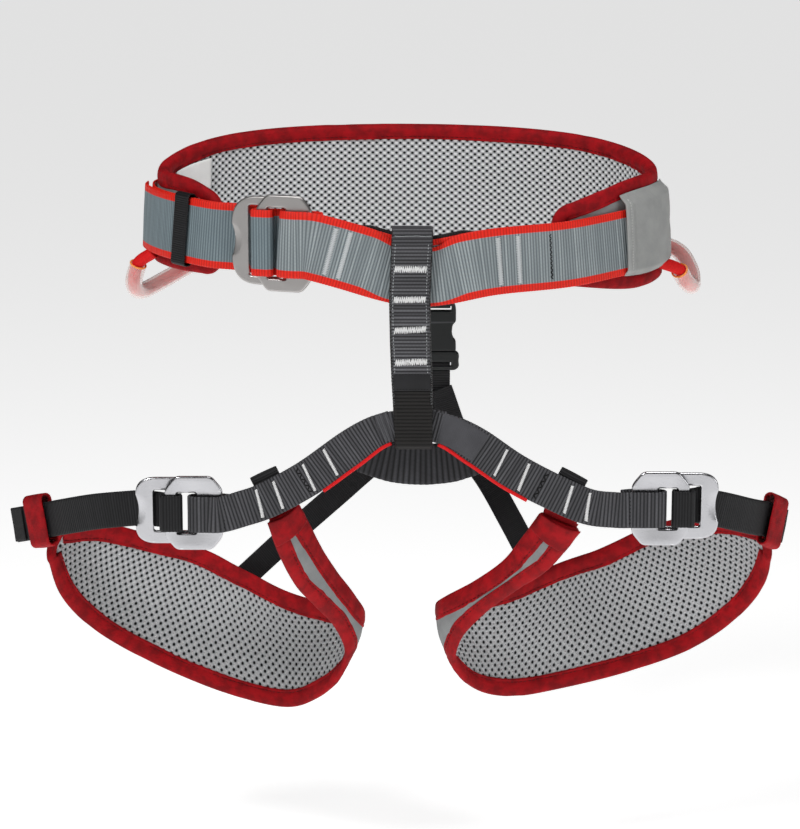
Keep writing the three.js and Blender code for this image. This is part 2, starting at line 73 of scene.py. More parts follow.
# Driving dimensions, as in the CAD source
WAIST_HALF_X = 169
WAIST_HALF_Y = 100
WAIST_SHIFT_X = -2.5
WAIST_FLARE = 0.06
WAIST_FLARE_TOP = 30
WAIST_LINING = 5
LEG_LINING = 2.6
COVER = 1.5
BINDING_WIDTH = 9.5
SEAM_INSET = 7.7
WAIST_WEBBING = 45
LEG_WEBBING = 26
BELAY_X = 2
BELAY_WIDTH = 27.5
BELAY_WALL = 3.4
BELAY_TOP = 5.6
BELAY_BOTTOM = -141.5
BELAY_FRONT = -118
BELAY_BACK = -101.8
RISER_X = 17
RISER_Y = 116
LEG_BULGE = 4

WAIST_EDGES = [
    [-133.6, 20, -32], [-118, 31, -32], [-90, 33, -33], [-45, 48, -49], [0, 51, -56],
    [45, 47, -54], [90, 33, -43], [120, 29, -44], [146, 14, -36],
]
LEFT_PAD_TOP = [
    [-250, 2, -224], [-219, 28, -228], [-187, 44, -240], [-153, 50, -251],
    [-120, 46, -267], [-91, 34, -279], [-62, 16, -283], [-42, 1, -282], [-35, -14, -278],
    [-41, -28, -263], [-52, -43, -243], [-62, -59, -222], [-70, -72, -201], [-77, -82, -184],
]
LEFT_PAD_BOTTOM = [
    [-257, 4, -245], [-250, 22, -281], [-226, 40, -313], [-185, 50, -340],
    [-136, 44, -359], [-91, 28, -365], [-66, 14, -353], [-52, 1, -335], [-47, -13, -311],
    [-54, -27, -288], [-67, -41, -269], [-80, -55, -250], [-91, -70, -223], [-98, -80, -198],
]
RIGHT_PAD_TOP = [
    [248, 1, -223], [223, 28, -223], [194, 44, -228], [166, 50, -238],
    [137, 46, -251], [107, 32, -258], [72, 17, -269], [38, 4, -274], [20, -13, -274],
    [26, -31, -264], [46, -44, -249], [64, -55, -232], [76, -66, -213], [88, -80, -191],
]
RIGHT_PAD_BOTTOM = [
    [254, 4, -245], [253, 22, -272], [237, 40, -301], [206, 50, -327],
    [159, 44, -343], [108, 28, -351], [72, 16, -353], [46, 5, -344], [32, -11, -322],
    [36, -28, -296], [53, -40, -273], [74, -50, -254], [95, -62, -236], [116, -80, -204],
]


# ---------- camera, light and floor ----------

TARGET = Vector((-7.7, 0, -142)) * MM
ELEVATION = math.radians(12)
DISTANCE = 2.0
LENS = 124.1

camera = bpy.data.objects.new("camera", bpy.data.cameras.new("camera"))
bpy.context.scene.collection.objects.link(camera)
back = Vector((0, -math.cos(ELEVATION), math.sin(ELEVATION)))
camera.location = TARGET + back * DISTANCE
camera.rotation_mode = "QUATERNION"
camera.rotation_quaternion = (-back).to_track_quat("-Z", "Y")
camera.data.sensor_width = 36
camera.data.lens = LENS
bpy.context.scene.camera = camera
bpy.context.scene.view_settings.view_transform = "Standard"

world = bpy.data.worlds.new("studio")
world.use_nodes = True
world_nodes, world_links = world.node_tree.nodes, world.node_tree.links
direction = world_nodes.new("ShaderNodeTexCoord")
axes = world_nodes.new("ShaderNodeSeparateXYZ")
height = world_nodes.new("ShaderNodeMapRange")
height.interpolation_type = "SMOOTHSTEP"
for socket, value in zip(list(height.inputs)[1:5], (-0.05, 0.95, 0.3, 0.95)):
    socket.default_value = value
world_links.new(direction.outputs["Generated"], axes.inputs[0])
world_links.new(axes.outputs["Z"], height.inputs[0])
world_links.new(height.outputs[0], world_nodes["Background"].inputs["Strength"])
bpy.context.scene.world = world


def area_light(name, place, power, size):
    light = bpy.data.lights.new(name, "AREA")
    light.energy = power
    light.shape = "DISK"
    light.size = size
    lamp = bpy.data.objects.new(name, light)
    lamp.location = place
    lamp.rotation_mode = "QUATERNION"
    lamp.rotation_quaternion = (TARGET - Vector(place)).to_track_quat("-Z", "Y")
    bpy.context.scene.collection.objects.link(lamp)


area_light("key", (-0.9, -1.3, 1.3), 22, 0.5)
area_light("top", (0.3, -0.2, 1.5), 10, 0.8)
area_light("fill", (1.4, -1.0, 0.2), 5, 0.8)


# ---------- materials ----------

def srgb(red, green, blue):
    def linear(value):
        value /= 255
        return value / 12.92 if value <= 0.04045 else ((value + 0.055) / 1.055) ** 2.4

    return (linear(red), linear(green), linear(blue), 1.0)


class Shader:
    """A material built from nodes. The map layer named cloth holds millimetres along and across a fabric."""

    def __init__(self, name):
        self.material = bpy.data.materials.new(name)
        self.material.use_nodes = True
        self.tree = self.material.node_tree
        self.tree.nodes.clear()
        self.bsdf = self.node("BsdfPrincipled")
        output = self.node("OutputMaterial")
        self.tree.links.new(self.bsdf.outputs[0], output.inputs[0])

    def put(self, socket, value):
        if isinstance(value, bpy.types.NodeSocket):
            self.tree.links.new(value, socket)
        else:
            socket.default_value = value

    def node(self, kind, inputs=None, **settings):
        made = self.tree.nodes.new("ShaderNode" + kind)
        for key, value in settings.items():
            setattr(made, key, value)
        for key, value in (inputs or {}).items():
            self.put(made.inputs[key], value)
        return made

    def math(self, operation, *values, clamp=False):
        made = self.node("Math", operation=operation, use_clamp=clamp)
        for i, value in enumerate(values):
            self.put(made.inputs[i], value)
        return made.outputs[0]

    def mix(self, factor, one, other):
        made = self.node("Mix", data_type="RGBA")
        for i, value in ((0, factor), (6, one), (7, other)):
            self.put(made.inputs[i], value)
        return made.outputs[2]

    def fade(self, value, low, high):
        """0 below low and 1 above high."""
        made = self.node("MapRange", interpolation_type="SMOOTHSTEP")
        for i, v in enumerate((value, low, high, 0.0, 1.0)):
            self.put(made.inputs[i], v)
        return made.outputs[0]

    def cloth(self):
        layer = self.node("Attribute", attribute_name="cloth")
        parts = self.node("SeparateXYZ", {0: layer.outputs["Vector"]})
        return parts.outputs[0], parts.outputs[1]

    def attribute(self, name):
        return self.node("Attribute", attribute_name=name).outputs["Fac"]

    def vector(self, x, y, z=0.0):
        return self.node("CombineXYZ", {0: x, 1: y, 2: z}).outputs[0]

    def noise(self, where, scale, detail=2.0, roughness=0.5):
        settings = {"Vector": where, "Scale": scale, "Detail": detail, "Roughness": roughness}
        return self.node("TexNoise", settings).outputs[0]

    def place(self):
        return self.node("TexCoord").outputs["Object"]

    def ribs(self, value, pitch):
        """0 in the grooves and 1 on the ridges."""
        return self.math("ABSOLUTE", self.math("SINE", self.math("MULTIPLY", value, math.pi / pitch)))

    def random(self, value):
        return self.node("TexWhiteNoise", {"W": value}, noise_dimensions="1D").outputs["Value"]

    def bump(self, height, strength, distance):
        made = self.node("Bump", {"Height": height, "Strength": strength, "Distance": distance * MM})
        self.put(self.bsdf.inputs["Normal"], made.outputs[0])

    def set(self, **values):
        for key, value in values.items():
            self.put(self.bsdf.inputs[key.replace("_", " ")], value)
        return self


def webbing_material(name, dark, light, pitch, edge=None, rib_highlight_spread=0.35):
    """Woven webbing: weft ribs, crossed by warp threads. edge is (colour, distance out where it starts)."""
    thread = 0.9
    m = Shader(name)
    along, across = m.cloth()
    rib = m.ribs(along, pitch)
    row = m.math("FLOOR", m.math("DIVIDE", along, pitch))
    shifted = m.math("ADD", across, m.math("MULTIPLY", m.math("MODULO", row, 2.0), thread / 2))
    warp = m.ribs(shifted, thread)
    height = m.math("MULTIPLY", rib, m.math("MULTIPLY_ADD", warp, 0.45, 0.55))
    # Painted light: rib colour follows rib height (shaded grooves, highlit ridges), plus random highlight
    # stripes.
    random_rib_highlight = m.math("MULTIPLY_ADD", m.random(row), rib_highlight_spread, 1 - rib_highlight_spread)
    painted_shade_and_tone = m.math("MULTIPLY", m.math("POWER", height, 1.3), random_rib_highlight)
    patches = m.noise(m.vector(along, across), 0.045, 2.0)
    painted_shade_and_tone = m.math("MULTIPLY", painted_shade_and_tone, m.math("MULTIPLY_ADD", patches, 0.5, 0.75), clamp=True)
    colour = m.mix(painted_shade_and_tone, dark, light)
    if edge:
        edge_colour, start = edge
        from_middle = m.math("ABSOLUTE", across)
        selvage = m.fade(from_middle, start - 0.25, start + 0.25)
        # The red edge gets the same painted groove shade.
        groove_shade_red = (edge_colour[0] * 0.45, edge_colour[1] * 0.35, edge_colour[2] * 0.35, 1)
        colour = m.mix(selvage, colour, m.mix(m.math("MULTIPLY_ADD", height, 0.75, 0.25), groove_shade_red, edge_colour))
    fuzz = m.noise(m.vector(along, across), 3.1, 3.0)
    m.bump(m.math("MULTIPLY_ADD", fuzz, 0.25, height), 0.7, 0.25)
    m.set(Base_Color=colour, Roughness=0.5, Specular_IOR_Level=0.2)
    return m.material


def thread_material(name, colour):
    m = Shader(name)
    along, across = m.cloth()
    twist = m.ribs(m.math("ADD", along, across), 0.5)
    # Painted shade: the twist's grooves are darker.
    dark = (colour[0] * 0.5, colour[1] * 0.5, colour[2] * 0.5, 1)
    m.bump(twist, 0.5, 0.1)
    m.set(
        Base_Color=m.mix(m.math("MULTIPLY_ADD", twist, 0.5, 0.5), dark, colour), Roughness=0.6,
        Specular_IOR_Level=0.2)
    return m.material


def spacer_material(name, yarn, knot_highlight, hole):
    m = Shader(name)
    along, across = m.cloth()
    where = m.vector(along, across)
    knit = m.noise(where, 2.2, 3.0)
    twist = m.ribs(m.math("ADD", along, m.math("MULTIPLY", across, 0.6)), 0.55)
    # Painted highlight: the raised knots between the holes are near white.
    colour = m.mix(m.fade(m.attribute("knot"), 0.25, 0.95), yarn, knot_highlight)
    colour = m.mix(m.math("MULTIPLY", knit, 0.3), colour, srgb(96, 98, 100))
    # Painted shade: the holes are near black.
    depth = m.attribute("hole")
    colour = m.mix(m.fade(depth, 0.02, 0.3), colour, hole)
    m.bump(m.math("ADD", m.math("MULTIPLY", twist, 0.6), knit), 0.4, 0.15)
    m.set(Base_Color=colour, Roughness=0.75, Specular_IOR_Level=0.2)
    return m.material


def woven_material(name, dark, light, thread, roughness=0.75, mottle_and_wrinkle_light=0.3, sheen=0.2, size=0.06):
    """Plain-woven fabric, with painted shade in the weave and a soft uneven tone (painted wrinkle light and
    shade on the binding).
    """
    m = Shader(name)
    along, across = m.cloth()
    where = m.vector(along, across)
    warp = m.ribs(along, thread)
    weft = m.ribs(across, thread)
    over = m.math("ADD", m.math("MULTIPLY", warp, 0.5), m.math("MULTIPLY", weft, 0.5))
    # The mottle is a random tone, and on the binding it is painted light and shade of wrinkles.
    tone = m.noise(where, size, 4.0, 0.6)
    tone = m.fade(tone, 0.5 - mottle_and_wrinkle_light, 0.5 + mottle_and_wrinkle_light)
    speck = m.noise(where, 1.7, 2.0)
    # Painted shade: the weave's hollows are darker.
    painted_weave_shade = m.math("MULTIPLY_ADD", over, 0.35, 0.65)
    painted_shade_and_tone = m.math("MULTIPLY", painted_weave_shade, m.math("MULTIPLY_ADD", speck, 0.3, 0.85))
    painted_shade_and_tone = m.math("MULTIPLY", painted_shade_and_tone, m.math("MULTIPLY_ADD", tone, 0.5, 0.5), clamp=True)
    m.bump(m.math("ADD", over, m.math("MULTIPLY", speck, 0.5)), 0.45, 0.18)
    m.set(
        Base_Color=m.mix(painted_shade_and_tone, dark, light), Roughness=roughness, Sheen_Weight=sheen, Sheen_Roughness=0.4,
        Specular_IOR_Level=0.2)
    return m.material


def metal_material(name, colour, roughness, wear):
    m = Shader(name)
    where = m.place()
    stretched = m.node("Mapping", {"Vector": where, "Scale": (0.15, 1.0, 1.0)}).outputs[0]
    brush = m.noise(stretched, 1500.0, 3.0)
    cloud = m.noise(where, 60.0, 3.0)
    aslant = m.node("Mapping", {"Vector": where, "Rotation": (0, 0.5, 0), "Scale": (0.06, 1.0, 1.0)}).outputs[0]
    scratch = m.fade(m.noise(aslant, 2600.0, 1.0), 0.66, 0.74)
    edge = m.fade(m.node("NewGeometry").outputs["Pointiness"], 0.52, 0.6)
    cloudy = (colour[0] * 0.6, colour[1] * 0.6, colour[2] * 0.62, 1)
    tone = m.mix(m.math("MULTIPLY", cloud, 0.35), colour, cloudy)
    tone = m.mix(m.math("MULTIPLY", edge, wear), tone, (0.95, 0.95, 0.95, 1))
    scratched = m.math("MULTIPLY_ADD", scratch, 0.12, roughness - 0.07)
    rough = m.math("ADD", m.math("MULTIPLY", cloud, 0.14), scratched)
    m.bump(m.math("ADD", m.math("MULTIPLY", brush, 0.3), m.math("MULTIPLY", scratch, -0.6)), 0.12, 0.05)
    m.set(Base_Color=tone, Metallic=1.0, Roughness=rough)
    return m.material


def plastic_material(name, colour, roughness):
    m = Shader(name)
    where = m.place()
    grain = m.noise(where, 2500.0, 2.0)
    cloud = m.noise(where, 90.0, 3.0)
    edge = m.fade(m.node("NewGeometry").outputs["Pointiness"], 0.52, 0.62)
    worn = (colour[0] + 0.05, colour[1] + 0.05, colour[2] + 0.055, 1)
    m.bump(grain, 0.25, 0.08)
    m.set(
        Base_Color=m.mix(m.math("MULTIPLY", edge, 0.8), colour, worn),
        Roughness=m.math("MULTIPLY_ADD", cloud, 0.2, roughness - 0.1))
    return m.material


def tube_material(name):
    """A clear tube, milky where it is looked at along its wall."""
    m = Shader(name)
    along, across = m.cloth()
    facing = m.node("LayerWeight", {"Blend": 0.35}).outputs["Facing"]
    streak = m.noise(m.vector(m.math("MULTIPLY", along, 0.15), across), 1.2, 2.0)
    cover = m.math("MULTIPLY_ADD", facing, 0.65, m.math("MULTIPLY_ADD", streak, 0.16, 0.16), clamp=True)
    m.bump(streak, 0.15, 0.1)
    m.set(Base_Color=srgb(252, 240, 234), Roughness=0.16, Alpha=cover, Coat_Weight=0.6, Coat_Roughness=0.1)
    return m.material


def cord_material(name, dark, light, pitch):
    """A braided sheath: two sets of strands that cross."""
    m = Shader(name)
    along, across = m.cloth()
    one = m.ribs(m.math("ADD", along, across), pitch)
    other = m.ribs(m.math("SUBTRACT", along, across), pitch)
    braid = m.math("MAXIMUM", one, other)
    m.bump(braid, 0.6, 0.3)
    # Painted shade: the hollows between the strands are darker.
    m.set(Base_Color=m.mix(m.math("POWER", braid, 2.0), dark, light), Roughness=0.65, Specular_IOR_Level=0.2)
    return m.material


RED_EDGE = srgb(236, 42, 28)
MATERIALS = {
    # The spacer's last two colours are a painted knot highlight and a painted hole shade.
    "spacer": spacer_material("spacer_mesh", srgb(176, 178, 180), srgb(250, 251, 252), srgb(20, 20, 22)),
    "cover": woven_material("cover_fabric", srgb(84, 86, 88), srgb(150, 152, 152), 0.9, 0.75, 0.4, 0.1),
    "sleeve": woven_material("sleeve_fabric", srgb(116, 118, 118), srgb(166, 167, 165), 0.8, 0.7, 0.4, 0.1),
    # The binding's mottled tone is partly painted wrinkle light and shade.
    "binding": woven_material("binding_tape", srgb(52, 0, 4), srgb(174, 5, 18), 0.7, 0.75, 0.16, 0.0, 0.11),
    # Each webbing's two colours are its painted groove shade and its painted ridge highlight.
    "waist": webbing_material(
        "waist_webbing", srgb(92, 101, 105), srgb(176, 184, 186), 2.0, edge=(RED_EDGE, 16.8), rib_highlight_spread=0.5),
    "tail": webbing_material(
        "tail_webbing", srgb(84, 97, 103), srgb(136, 150, 155), 1.9, edge=(RED_EDGE, 17.2), rib_highlight_spread=0.2),
    "charcoal": webbing_material("charcoal_webbing", srgb(24, 24, 26), srgb(100, 100, 104), 2.4, rib_highlight_spread=0.45),
    "belay": webbing_material("belay_webbing", srgb(26, 26, 28), srgb(116, 116, 120), 2.3, rib_highlight_spread=0.6),
    "belay_dark": webbing_material("belay_dark_webbing", srgb(14, 13, 12), srgb(40, 38, 37), 2.4, rib_highlight_spread=0.3),
    "dark": webbing_material("dark_webbing", srgb(13, 13, 14), srgb(44, 44, 46), 1.9),
    "elastic": webbing_material("elastic_webbing", srgb(10, 10, 11), srgb(38, 38, 40), 1.5),
    "rear": webbing_material("rear_webbing", srgb(18, 18, 19), srgb(74, 74, 78), 3.6),
    "twill": woven_material("twill_patch", srgb(42, 42, 45), srgb(84, 84, 88), 0.7, 0.6, 0.4, 0.1),
    "white_thread": thread_material("white_thread", srgb(236, 236, 236)),
    "light_thread": thread_material("light_thread", srgb(206, 210, 212)),
    "grey_thread": thread_material("grey_thread", srgb(176, 180, 182)),
    "fuzz_thread": thread_material("fuzz_thread", srgb(104, 106, 108)),
    "black_thread": thread_material("black_thread", srgb(16, 16, 17)),
    "crimson_thread": thread_material("crimson_thread", srgb(96, 4, 14)),
    "pale_thread": thread_material("pale_thread", srgb(196, 196, 194)),
    "piping": cord_material("red_piping", srgb(150, 8, 10), srgb(238, 26, 30), 0.9),
    "alloy": metal_material("buckle_alloy", srgb(178, 175, 173), 0.36, 0.25),
    "bright_alloy": metal_material("bright_buckle_alloy", srgb(196, 196, 199), 0.24, 0.4),
    "plastic": plastic_material("black_plastic", srgb(14, 18, 18), 0.42),
    "tube": tube_material("clear_tube"),
    "rim": plastic_material("orange_rim", srgb(248, 150, 56), 0.4),
    "cord": cord_material("red_cord", srgb(150, 6, 8), srgb(236, 24, 26), 1.3),
    "label": woven_material("label_satin", srgb(226, 226, 224), srgb(250, 250, 249), 0.4, 0.5, 0.4, 0.1),
    "black_label": woven_material("black_label", srgb(20, 20, 21), srgb(42, 42, 44), 0.5, 0.6, 0.4, 0.1),
}


# ---------- meshes ----------

def wander(x, y, seed, size):
    """Smooth random heights from -1 to 1 over a plane, with bumps about size across."""
    table = np.random.default_rng(seed).uniform(-1, 1, (64, 64))
    x, y = np.broadcast_arrays(np.asarray(x, float) / size, np.asarray(y, float) / size)
    i, j = np.floor(x).astype(int), np.floor(y).astype(int)
    f, g = x - i, y - j
    f, g = f * f * (3 - 2 * f), g * g * (3 - 2 * g)
    at = lambda a, b: table[(i + a) % 64, (j + b) % 64]
    low = at(0, 0) * (1 - f) + at(1, 0) * f
    high = at(0, 1) * (1 - f) + at(1, 1) * f
    return low * (1 - g) + high * g


def unit(v):
    return v / np.maximum(np.linalg.norm(v, axis=-1, keepdims=True), 1e-12)


def make_mesh(name, points, faces, corners, look, turn_out=True):
    """A mesh piece from points and, for each face corner, the distances along and across it."""
    mesh = bpy.data.meshes.new(name)
    mesh.from_pydata((np.asarray(points).reshape(-1, 3) * MM).tolist(), [], faces)
    layer = mesh.uv_layers.new(name="cloth")
    layer.data.foreach_set("uv", np.asarray(corners, np.float32).ravel())
    if turn_out:
        work = bmesh.new()
        work.from_mesh(mesh)
        bmesh.ops.recalc_face_normals(work, faces=work.faces)
        work.to_mesh(mesh)
        work.free()
    mesh.polygons.foreach_set("use_smooth", [True] * len(mesh.polygons))
    mesh.materials.append(MATERIALS[look])
    piece = bpy.data.objects.new(name, mesh)
    bpy.context.scene.collection.objects.link(piece)
    return piece


def grid(name, points, cloth, look, ring=False, loop=False):
    """Quads over points[i, j]. ring closes j, and loop closes i, and then cloth has one more column or row.
    An open tube gets a face at each end."""
    rows, columns = points.shape[:2]
    i, j = np.meshgrid(
        np.arange(rows if loop else rows - 1), np.arange(columns if ring else columns - 1), indexing="ij")
    below, beside = (i + 1) % rows, (j + 1) % columns
    quads = [i * columns + j, below * columns + j, below * columns + beside, i * columns + beside]
    quads = np.stack(quads, -1).reshape(-1, 4)
    corners = np.stack([cloth[i, j], cloth[i + 1, j], cloth[i + 1, j + 1], cloth[i, j + 1]], 2).reshape(-1, 2)
    faces, corners = quads.tolist(), corners.tolist()
    if ring and not loop:
        for row, order in ((0, range(columns)), (rows - 1, range(columns - 1, -1, -1))):
            faces.append([row * columns + c for c in order])
            corners.extend(cloth[row, c].tolist() for c in order)
    return make_mesh(name, points, faces, corners, look, turn_out=ring)


def slab(name, place, look, rows, columns, lifts, edge=0.5):
    """A sheet with a thickness, between two lifts, with rounded borders.
    place(part of the rows, part of the columns, lift) returns points and cloth distances."""
    x = np.linspace(0, 1, rows)
    y = np.linspace(0, 1, columns)
    low, high = lifts
    middle, half = (low + high) / 2, (high - low) / 2
    ring_y = np.concatenate([y, y[::-1]])
    ring_lift = np.concatenate([np.ones(columns), -np.ones(columns)])
    border = np.ones(rows)
    border[[0, -1]] = edge
    shape = np.ones(2 * columns)
    shape[[0, columns - 1, columns, -1]] = edge
    lift = middle + half * ring_lift[None, :] * shape[None, :] * border[:, None]
    points, cloth = place(x[:, None], ring_y[None, :], lift)
    cloth = np.concatenate([cloth, cloth[:, :1]], 1)
    return grid(name, points, cloth, look, ring=True)


def join(name, pieces):
    """One piece made of several."""
    bpy.ops.object.select_all(action="DESELECT")
    for piece in pieces:
        piece.select_set(True)
    bpy.context.view_layer.objects.active = pieces[0]
    if len(pieces) > 1:
        bpy.ops.object.join()
    pieces[0].name = name
    pieces[0].data.name = name
    return pieces[0]


def settle(piece, body, slot, *nodes, bend=None):
    """The piece rides on a body. Given a bend, which is (body, start, end), it stays where it is, on no body.
    """
    if bend:
        other, start, end = bend
        tuple(v * MM for v in start)
        tuple(v * MM for v in end)
        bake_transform(piece)
    else:
        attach(piece, body)
    if nodes:
        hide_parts(*nodes)
    return piece


# ---------- lines and routes ----------

class Line:
    """The smooth line through some points."""

    def __init__(self, points):
        p = np.array(points, float)
        self.knots = np.vstack([2 * p[0] - p[1], p, 2 * p[-1] - p[-2]])
        self.spans = len(p) - 1
        self.parts = np.linspace(0, 1, 60 * self.spans + 1)
        spots = self.at(self.parts)
        self.reach = np.concatenate([[0], np.cumsum(np.linalg.norm(np.diff(spots, axis=0), axis=1))])
        self.length = self.reach[-1]

    def at(self, part):
        x = np.clip(part, 0, 1) * self.spans
        i = np.minimum(x.astype(int), self.spans - 1)
        f = (x - i)[..., None]
        a, b, c, d = (self.knots[i + k] for k in range(4))
        leave, arrive = (c - a) / 2, (d - b) / 2
        square, cube = 3 * (c - b) - 2 * leave - arrive, 2 * (b - c) + leave + arrive
        return b + leave * f + square * f**2 + cube * f**3

    def part(self, distance):
        return np.interp(distance, self.reach, self.parts)


class Route(Line):
    """A line with an outward and an up direction at each distance along it."""

    def __init__(self, points, out=None, lean=0.0):
        super().__init__(points)
        self.out = out
        self.lean = lean

    def frame(self, distance):
        distance = np.asarray(distance, float)
        point = self.at(self.part(distance))
        ahead = self.at(self.part(np.minimum(distance + 0.5, self.length)))
        behind = self.at(self.part(np.maximum(distance - 0.5, 0)))
        along = unit(ahead - behind)
        if self.out is not None:
            guide = np.broadcast_to(np.array(self.out, float), along.shape)
        else:
            up = np.array([0.0, 0.0, 1.0])
            guide = up - self.lean * np.cross(np.broadcast_to(up, along.shape), along)
        guide = unit(guide - (guide * along).sum(-1, keepdims=True) * along)
        if self.out is not None:
            return point, along, guide, np.cross(along, guide)
        return point, along, np.cross(guide, along), guide

    def where_x(self, x):
        """The distance at which the route passes that x."""
        spots = self.at(self.parts)[:, 0]
        return float(self.reach[np.argmin(np.abs(spots - x))])

    def spot(self, distance, outward=0.0, up=0.0):
        point, _, out, high = self.frame(distance)
        outward, up = np.asarray(outward, float), np.asarray(up, float)
        return point + out * outward[..., None] + high * up[..., None]


RIBBON_PROFILE = np.array([
    (-1, 0), (-0.985, 0.62), (-0.95, 0.96), (-0.8, 1), (-0.55, 1), (-0.28, 1), (0, 1),
    (0.28, 1), (0.55, 1), (0.8, 1), (0.95, 0.96), (0.985, 0.62),
    (1, 0), (0.985, -0.62), (0.95, -0.96), (0.8, -1), (0.55, -1), (0.28, -1), (0, -1),
    (-0.28, -1), (-0.55, -1), (-0.8, -1), (-0.95, -0.96), (-0.985, -0.62),
])


def ribbon(name, path, width, body, look, pitch, relief, reach=None, rise=0.0, loop=False, sway=0.0, seed=1,
           samples=5):
    """Ribbed webbing along a route, or along the (frames, length) of a plane path. body is its inner and outer
    distance from the path. reach is its start and end, if it doesn't run the whole way."""
    frame, length = (path.frame, path.length) if isinstance(path, Route) else path
    start, end = reach or (0, length)
    count = max(8, int(round((end - start) / pitch * samples)))
    s = start + (end - start) * (np.arange(count) / count if loop else np.linspace(0, 1, count))
    point, _, outward, up = frame(s)
    half = (width(s) if callable(width) else np.full_like(s, width)) / 2
    lift = rise(s) if callable(rise) else np.full_like(s, rise)
    middle, thick = (body[0] + body[1]) / 2, (body[1] - body[0]) / 2
    rib = np.abs(np.sin(np.pi * s / pitch)) ** 0.8
    across, face = RIBBON_PROFILE[:, 0], RIBBON_PROFILE[:, 1]
    y = across[None, :] * (half + 0.18 * (rib - 0.5))[:, None]
    x = middle + face[None, :] * (thick + relief * (rib[:, None] - 0.6))
    if sway:
        x = x + sway * wander(s, 0, seed, 26)[:, None] + 0.6 * sway * wander(s[:, None], y, seed + 1, 15)
        lift = lift + sway * 0.7 * wander(s, 9, seed + 2, 40)
    high = y + lift[:, None]
    points = point[:, None] + outward[:, None] * x[..., None] + up[:, None] * high[..., None]
    cloth = np.stack([np.broadcast_to(s[:, None], y.shape), y], -1)
    cloth = np.concatenate([cloth, cloth[:, :1]], 1)
    if loop:
        last = cloth[:1].copy()
        last[..., 0] = end
        cloth = np.concatenate([cloth, last], 0)
    return grid(name, points, cloth, look, ring=True, loop=loop)


def tube(name, spots, radius, look, sides):
    """A round tube along points."""
    spots = np.asarray(spots, float)
    along = unit(np.gradient(spots, axis=0))
    side = np.zeros_like(spots)
    first = np.cross(along[0], [0, 0, 1.0])
    if np.linalg.norm(first) < 0.1:
        first = np.cross(along[0], [0, 1.0, 0])
    side[0] = unit(first)
    for i in range(1, len(spots)):
        side[i] = unit(side[i - 1] - (side[i - 1] @ along[i]) * along[i])
    other = np.cross(along, side)
    angle = np.linspace(0, 2 * math.pi, sides, endpoint=False)
    points = spots[:, None] + radius * (
        side[:, None] * np.cos(angle)[None, :, None] + other[:, None] * np.sin(angle)[None, :, None])
    s = np.concatenate([[0], np.cumsum(np.linalg.norm(np.diff(spots, axis=0), axis=1))])
    turn = np.linspace(0, 2 * math.pi, sides + 1)
    cloth = np.stack(np.broadcast_arrays(s[:, None], turn[None, :] * radius), -1)
    return grid(name, points, cloth, look, ring=True)


def gathered(rows):
    """Several rows of the same arrays as one row of longer arrays."""
    return [np.concatenate(parts) for parts in zip(*rows)]


# A stitch's rings: the part of its length, and its thickness and height as shares of its radius
STITCH_RINGS = np.array([
    (0.0, 0.35, -0.9), (0.12, 0.85, -0.1), (0.5, 1.0, 0.35), (0.88, 0.85, -0.1), (1.0, 0.35, -0.9)])


def stitches(name, starts, ends, normals, radius, look):
    """Short lengths of thread laid on a surface, each dipping into it at its ends."""
    starts, ends = (np.asarray(a, float).reshape(-1, 3) for a in (starts, ends))
    normals = np.broadcast_to(np.asarray(normals, float), starts.shape)
    sides = 6
    angle = np.linspace(0, 2 * math.pi, sides, endpoint=False)
    along = unit(ends - starts)
    side = unit(np.cross(along, normals))
    normal = np.cross(side, along)
    length = np.linalg.norm(ends - starts, axis=1)
    part, thick, high = STITCH_RINGS.T
    rings = len(STITCH_RINGS)
    centre = (starts[:, None] + (ends - starts)[:, None] * part[None, :, None]
              + normal[:, None] * (high * radius)[None, :, None])
    round_it = (side[:, None, None] * np.cos(angle)[None, None, :, None]
                + normal[:, None, None] * np.sin(angle)[None, None, :, None])
    points = centre[:, :, None] + round_it * (thick * radius)[None, :, None, None]
    count = len(starts)
    per = rings * sides
    i, j = np.meshgrid(np.arange(rings - 1), np.arange(sides), indexing="ij")
    k = (j + 1) % sides
    quads = [i * sides + j, (i + 1) * sides + j, (i + 1) * sides + k, i * sides + k]
    quads = np.stack(quads, -1).reshape(-1, 4)
    faces = (quads[None] + (np.arange(count) * per)[:, None, None]).reshape(-1, 4).tolist()
    s = part[None, :] * length[:, None]
    turn = np.arange(sides + 1) * (radius * 2 * math.pi / sides)
    cloth = np.stack(np.broadcast_arrays(s[:, :, None], turn[None, None, :]), -1)
    corner = np.stack([cloth[:, i, j], cloth[:, i + 1, j], cloth[:, i + 1, j + 1], cloth[:, i, j + 1]], 3)
    corners = corner.reshape(-1, 2).tolist()
    for n in range(count):
        for row, order in ((0, range(sides)), (rings - 1, range(sides - 1, -1, -1))):
            faces.append([n * per + row * sides + c for c in order])
            corners.extend(cloth[n, row, c].tolist() for c in order)
    return make_mesh(name, points, faces, corners, look)


def zigzag(place, low, high, wide, pitch):
    """Starts and ends of a bar tack's threads, from low to high across. place(along, across) gives points."""
    count = max(2, int((high - low) / pitch))
    y = np.linspace(low, high, count + 1)
    x = np.where(np.arange(count + 1) % 2, wide / 2, -wide / 2)
    spots = place(x, y)
    return spots[:-1], spots[1:]


# ---------- pads ----------

WAIST_LINE = Line(WAIST_EDGES)
WAIST_SWEEP = WAIST_EDGES[-1][0] - WAIST_EDGES[0][0]


def waist_point(degrees, height, lift=0.0):
    """A spot on the belt's flared oval, seen from above."""
    angle = np.radians(degrees)
    lean = (WAIST_FLARE_TOP - height) * WAIST_FLARE + lift
    x, y = (WAIST_HALF_X + lean) * np.sin(angle), (WAIST_HALF_Y + lean) * np.cos(angle)
    return np.stack([WAIST_SHIFT_X + x, y, height], -1)


